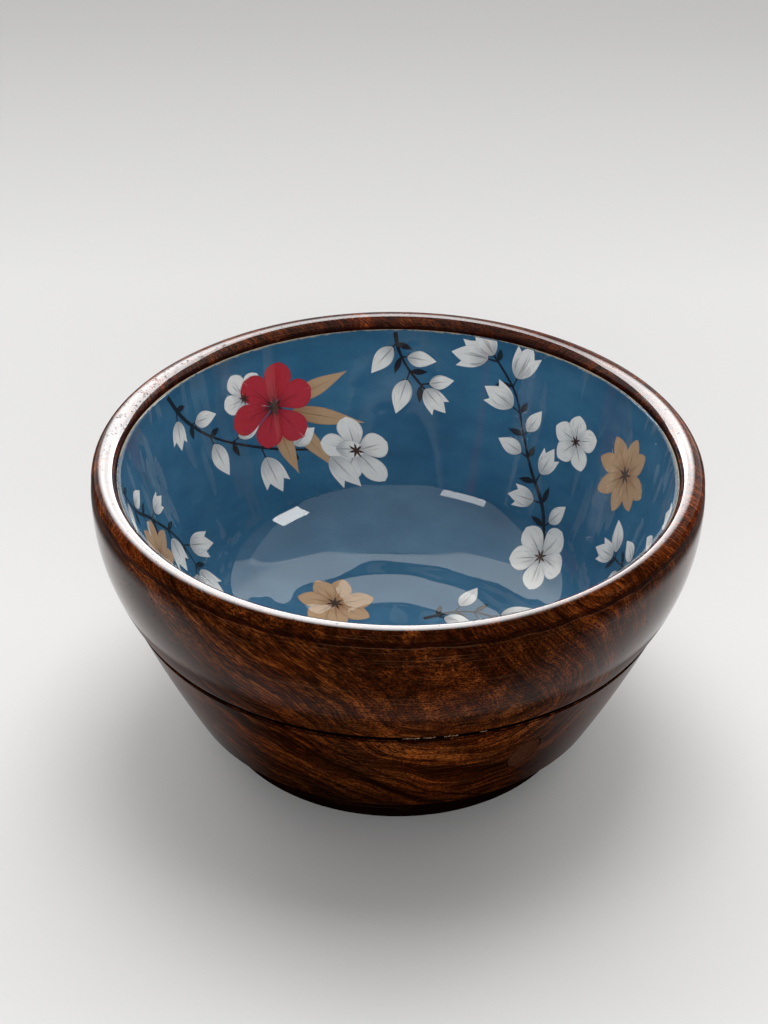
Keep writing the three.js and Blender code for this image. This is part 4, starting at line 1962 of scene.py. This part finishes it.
    def _blossom(self, chart: Chart, bloom: Bloom) -> None:
        """Draws an open blossom with its dark stamens.

        Args:
            chart: the drawing area.
            bloom: the blossom.
        """
        for k in range(bloom.petals):
            scatter = noise.cell_vector(Vector((k * 2.3, bloom.centre[0] + 3.1, bloom.length)))
            heading = bloom.heading + 360.0 * k / bloom.petals + self.petal_scatter * (scatter.x - 0.5)
            self.layers[bloom.ink].petal(
                chart, ahead(bloom.centre, heading, 0.5), heading,
                bloom.length * amount(self.petal_length, scatter.y), bloom.width, bloom.shape,
                0.10 * (scatter.z - 0.3))
        lean, long, wide = self.stamen
        for k in range(self.stamens):
            self.layers["eyes"].petal(
                chart, bloom.centre, bloom.heading + lean + 360.0 * k / self.stamens,
                bloom.length * long, bloom.length * wide, PetalShape.BUD)


@dataclass(frozen=True)
class Lining:
    """The printed sheet and the clear coat over it, with where the coat's waves rise and fall."""

    form: BowlForm
    sheet_segments: int = 256
    coat_segments: int = 384
    sheet_fine: int = 3
    coat_fine: int = 4
    coat_sharp: float = 50.0
    wavy_radius: float = 90 * MM
    face_margin: float = 0.02 * MM
    wave_cell: float = 24 * MM
    shore_wander: float = 3.4 * MM
    shore_rise: Point2 = (10 * MM, 24 * MM)
    shore_fall: Point2 = (40 * MM, 62 * MM)
    swell: float = 0.17 * MM
    swell_wander: float = 3.5 * MM
    swell_rise: Point2 = (33 * MM, 46 * MM)
    swell_fall: Point2 = (47 * MM, 56 * MM)
    ripple: float = 0.04 * MM
    ripple_cell: float = 15 * MM
    ripple_rise: Point2 = (18 * MM, 34 * MM)
    ripple_fall: Point2 = (58 * MM, 74 * MM)

    def build(self) -> None:
        """Builds and dresses the sheet, its print and the clear coat."""
        name = "printed_lining_sheet"
        sheet_profile = self.form.layer("sheet_face", "sheet_back", self.form.sheet_top, self.sheet_fine)
        sheet = make_object(name, turned(name, sheet_profile, self.sheet_segments))
        finish = PrintedBlue("printed_blue", self.form.sheet_top)
        dress(sheet, "printed_sheet", finish.material(), "printed_lining")
        BlossomPrint(SheetFace(self.form, self.sheet_fine)).build()
        coat_profile = self.form.layer("resin_face", "resin_back", self.form.rim_spring, self.coat_fine)
        mesh = turned(COAT, coat_profile, self.coat_segments)
        self._ripple(mesh)
        coat = make_object(COAT, mesh, self.coat_sharp)
        dress(coat, "clear_coat", ClearPour("clear_pour").material(), "clear_resin_liner")

    def _ripple(self, mesh: bpy.types.Mesh) -> None:
        """Gives the poured face its uneven shoreline and long low ripples.

        Args:
            mesh: the clear coat's mesh, of which the face alone is moved.
        """
        radii, heights = zip(*self.form.inside((0.0, 0.0), self.form.rim_spring, self.coat_fine))
        for vertex in mesh.vertices:
            radius = math.hypot(vertex.co.x, vertex.co.y)
            if radius > self.wavy_radius:
                continue
            level = height_at(radii, heights, radius)
            if abs(level - vertex.co.z) > self.face_margin:
                continue
            turn = Vector((vertex.co.x, vertex.co.y)) / max(radius, 1e-6)
            spot = Vector((1.6 * turn.x, 1.6 * turn.y, radius / self.ripple_cell))
            wave = noise.noise(Vector((vertex.co.x / self.wave_cell, vertex.co.y / self.wave_cell, 1.7)))
            shore = self.shore_wander * wave * hump(radius, self.shore_rise, self.shore_fall)
            ripples = noise.noise(spot) + 0.2 * noise.noise(spot * 2.3)
            reach = radius + self.swell_wander * wave
            vertex.co.z += self.swell * hump(reach, self.swell_rise, self.swell_fall)
            vertex.co.z += height_at(radii, heights, radius - shore) - level
            vertex.co.z += self.ripple * ripples * hump(radius, self.ripple_rise, self.ripple_fall)


@dataclass(frozen=True)
class Lamp:
    """A rectangular lamp that points at the bowl."""

    name: str
    azimuth: float
    elevation: float
    distance: float
    size: Point2
    radiance: float
    lights_matt: bool = True
    mirrored: bool = True
    seen_in: tuple[str, ...] = ()

    def build(self, target: Vector) -> None:
        """Puts the lamp in its place.

        Args:
            target: the point at which it is aimed.
        """
        data = bpy.data.lights.new(self.name, "AREA")
        data.shape = "RECTANGLE"
        data.size, data.size_y = self.size
        data.energy = self.radiance * 4 * self.size[0] * self.size[1]
        lamp = add_object(self.name, data)
        level, turn = math.radians(self.elevation), math.radians(self.azimuth)
        away = Vector((math.cos(turn) * math.cos(level), math.sin(turn) * math.cos(level), math.sin(level)))
        lamp.location = target + away * self.distance
        lamp.rotation_euler = away.to_track_quat("Z", "Y").to_euler()
        lamp.visible_camera = False
        lamp.visible_diffuse = self.lights_matt
        lamp.visible_glossy = self.mirrored
        if self.seen_in:
            receivers = bpy.data.collections.new(f"{self.name}_receivers")
            for name in self.seen_in:
                receivers.objects.link(bpy.data.objects[name])
            lamp.light_linking.receiver_collection = receivers


@dataclass(frozen=True)
class Studio:
    """A pale table, soft lamps, the room's light and the camera."""

    target: Vector
    table_size: float = 8.0
    lens: float = 80.86
    camera_place: tuple[float, float, float] = (0.0, -0.7948, 0.6223)
    camera_pitch: float = math.radians(-33.356)
    camera_yaw: float = -0.00701
    camera_roll: float = 0.00931
    arch_radiance: float = 3.1

    def build(self) -> None:
        """Builds the whole studio."""
        self._table()
        for lamp in (
            Lamp("overhead", 80.0, 76.0, 2.6, (1.3, 1.3), 3.9, mirrored=False),
            Lamp("front_fill", -90.0, 20.0, 3.0, (2.4, 1.2), 3.2, mirrored=False),
            Lamp("small_lamp_right", -22.7, 33.0, 2.43, (0.68, 0.66), 11.0, False, seen_in=(COAT,)),
            Lamp("small_lamp_left", -127.7, 26.0, 2.42, (1.0, 0.42), 6.0, False, seen_in=(COAT,)),
            Lamp("ceiling", -90.0, 70.0, 2.5, (7.0, 5.9), 0.72, False, seen_in=(COAT,)),
            Lamp("rim_panel", 90.0, 36.5, 3.0, (7.8, 4.8), 6.4, False, seen_in=(RIM,)),
        ):
            lamp.build(self.target)
        self._room()
        self._camera()
        bpy.context.scene.view_settings.view_transform = "Standard"

    def _table(self) -> None:
        """The pale table top."""
        half = self.table_size / 2
        mesh = bpy.data.meshes.new("table")
        corners = [(-half, -half, 0), (half, -half, 0), (half, half, 0), (-half, half, 0)]
        mesh.from_pydata(corners, [], [(0, 1, 2, 3)])
        mesh.materials.append(PaleTable("pale_table").material())
        add_object("table", mesh)

    def _room(self) -> None:
        """The room's light: an arch of soft panels behind and overhead, and dim walls."""
        world = bpy.data.worlds.new("room")
        world.use_nodes = True
        bpy.context.scene.world = world
        graph = Graph(world.node_tree)
        view = graph.out(graph.node("ShaderNodeTexCoord", {}, {}), "Generated")
        across, ahead, up = graph.separate(view)
        aside = graph.maths("ABSOLUTE", across)
        depth = graph.maths("MAXIMUM", ahead, 0.01)
        span, rise = aside / depth, up / depth
        top = rise - span * 0.23
        panel = graph.smooth(span, 2.6, 2.2) * graph.smooth(rise, 0.56, 0.66)
        panel = panel * graph.smooth(top, 1.82, 1.72) * graph.smooth(span, 1.2, 0.6, 0.66, 1.0)
        strips = graph.smooth(span, 0.34, 0.44) * graph.smooth(span, 0.86, 0.74)
        strips = strips * graph.smooth(rise, 0.72, 0.60) * graph.smooth(rise, -0.08, -0.02)
        arch = graph.maths("MAXIMUM", panel, strips) * self.arch_radiance
        walls = graph.smooth(aside, 0.45, 0.85) * graph.smooth(ahead, -0.5, 0.2) * 0.40
        walls = walls + graph.smooth(up, 0.55, 0.80) * 0.10 + 0.11
        strength = graph.maths("MAXIMUM", arch, walls)
        tint = (1.0, 0.995, 0.985, 1.0)
        shader = graph.node("ShaderNodeBackground", {}, {"Color": tint, "Strength": strength})
        graph.finish(shader, "ShaderNodeOutputWorld")

    def _camera(self) -> None:
        """The camera at the photograph's viewing angle."""
        data = bpy.data.cameras.new("camera")
        data.lens, data.sensor_width = self.lens, 36.0
        data.clip_start, data.clip_end = 0.01, 50.0
        camera = add_object("camera", data)
        ahead = Vector((
            math.sin(self.camera_yaw) * math.cos(self.camera_pitch),
            math.cos(self.camera_yaw) * math.cos(self.camera_pitch),
            math.sin(self.camera_pitch),
        ))
        level_right = Vector((math.cos(self.camera_yaw), -math.sin(self.camera_yaw), 0.0))
        level_up = level_right.cross(ahead)
        right = level_right * math.cos(self.camera_roll) + level_up * math.sin(self.camera_roll)
        up = level_up * math.cos(self.camera_roll) - level_right * math.sin(self.camera_roll)
        stand = Matrix((right, up, -ahead)).transposed().to_4x4()
        stand.translation = Vector(self.camera_place)
        camera.matrix_world = stand
        bpy.context.scene.camera = camera


def main() -> None:
    """Builds the bowl and the studio."""
    logging.basicConfig(level=logging.INFO, format="%(name)s %(message)s")
    ring_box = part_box("upper_ring")
    form = BowlForm(widest_radius=ring_box[1].x, total_height=ring_box[1].z)
    WoodenBody(form).build()
    Lining(form).build()
    Studio(target=Vector((0.0, 0.0, 0.07))).build()


if __name__ == "__main__":
    main()
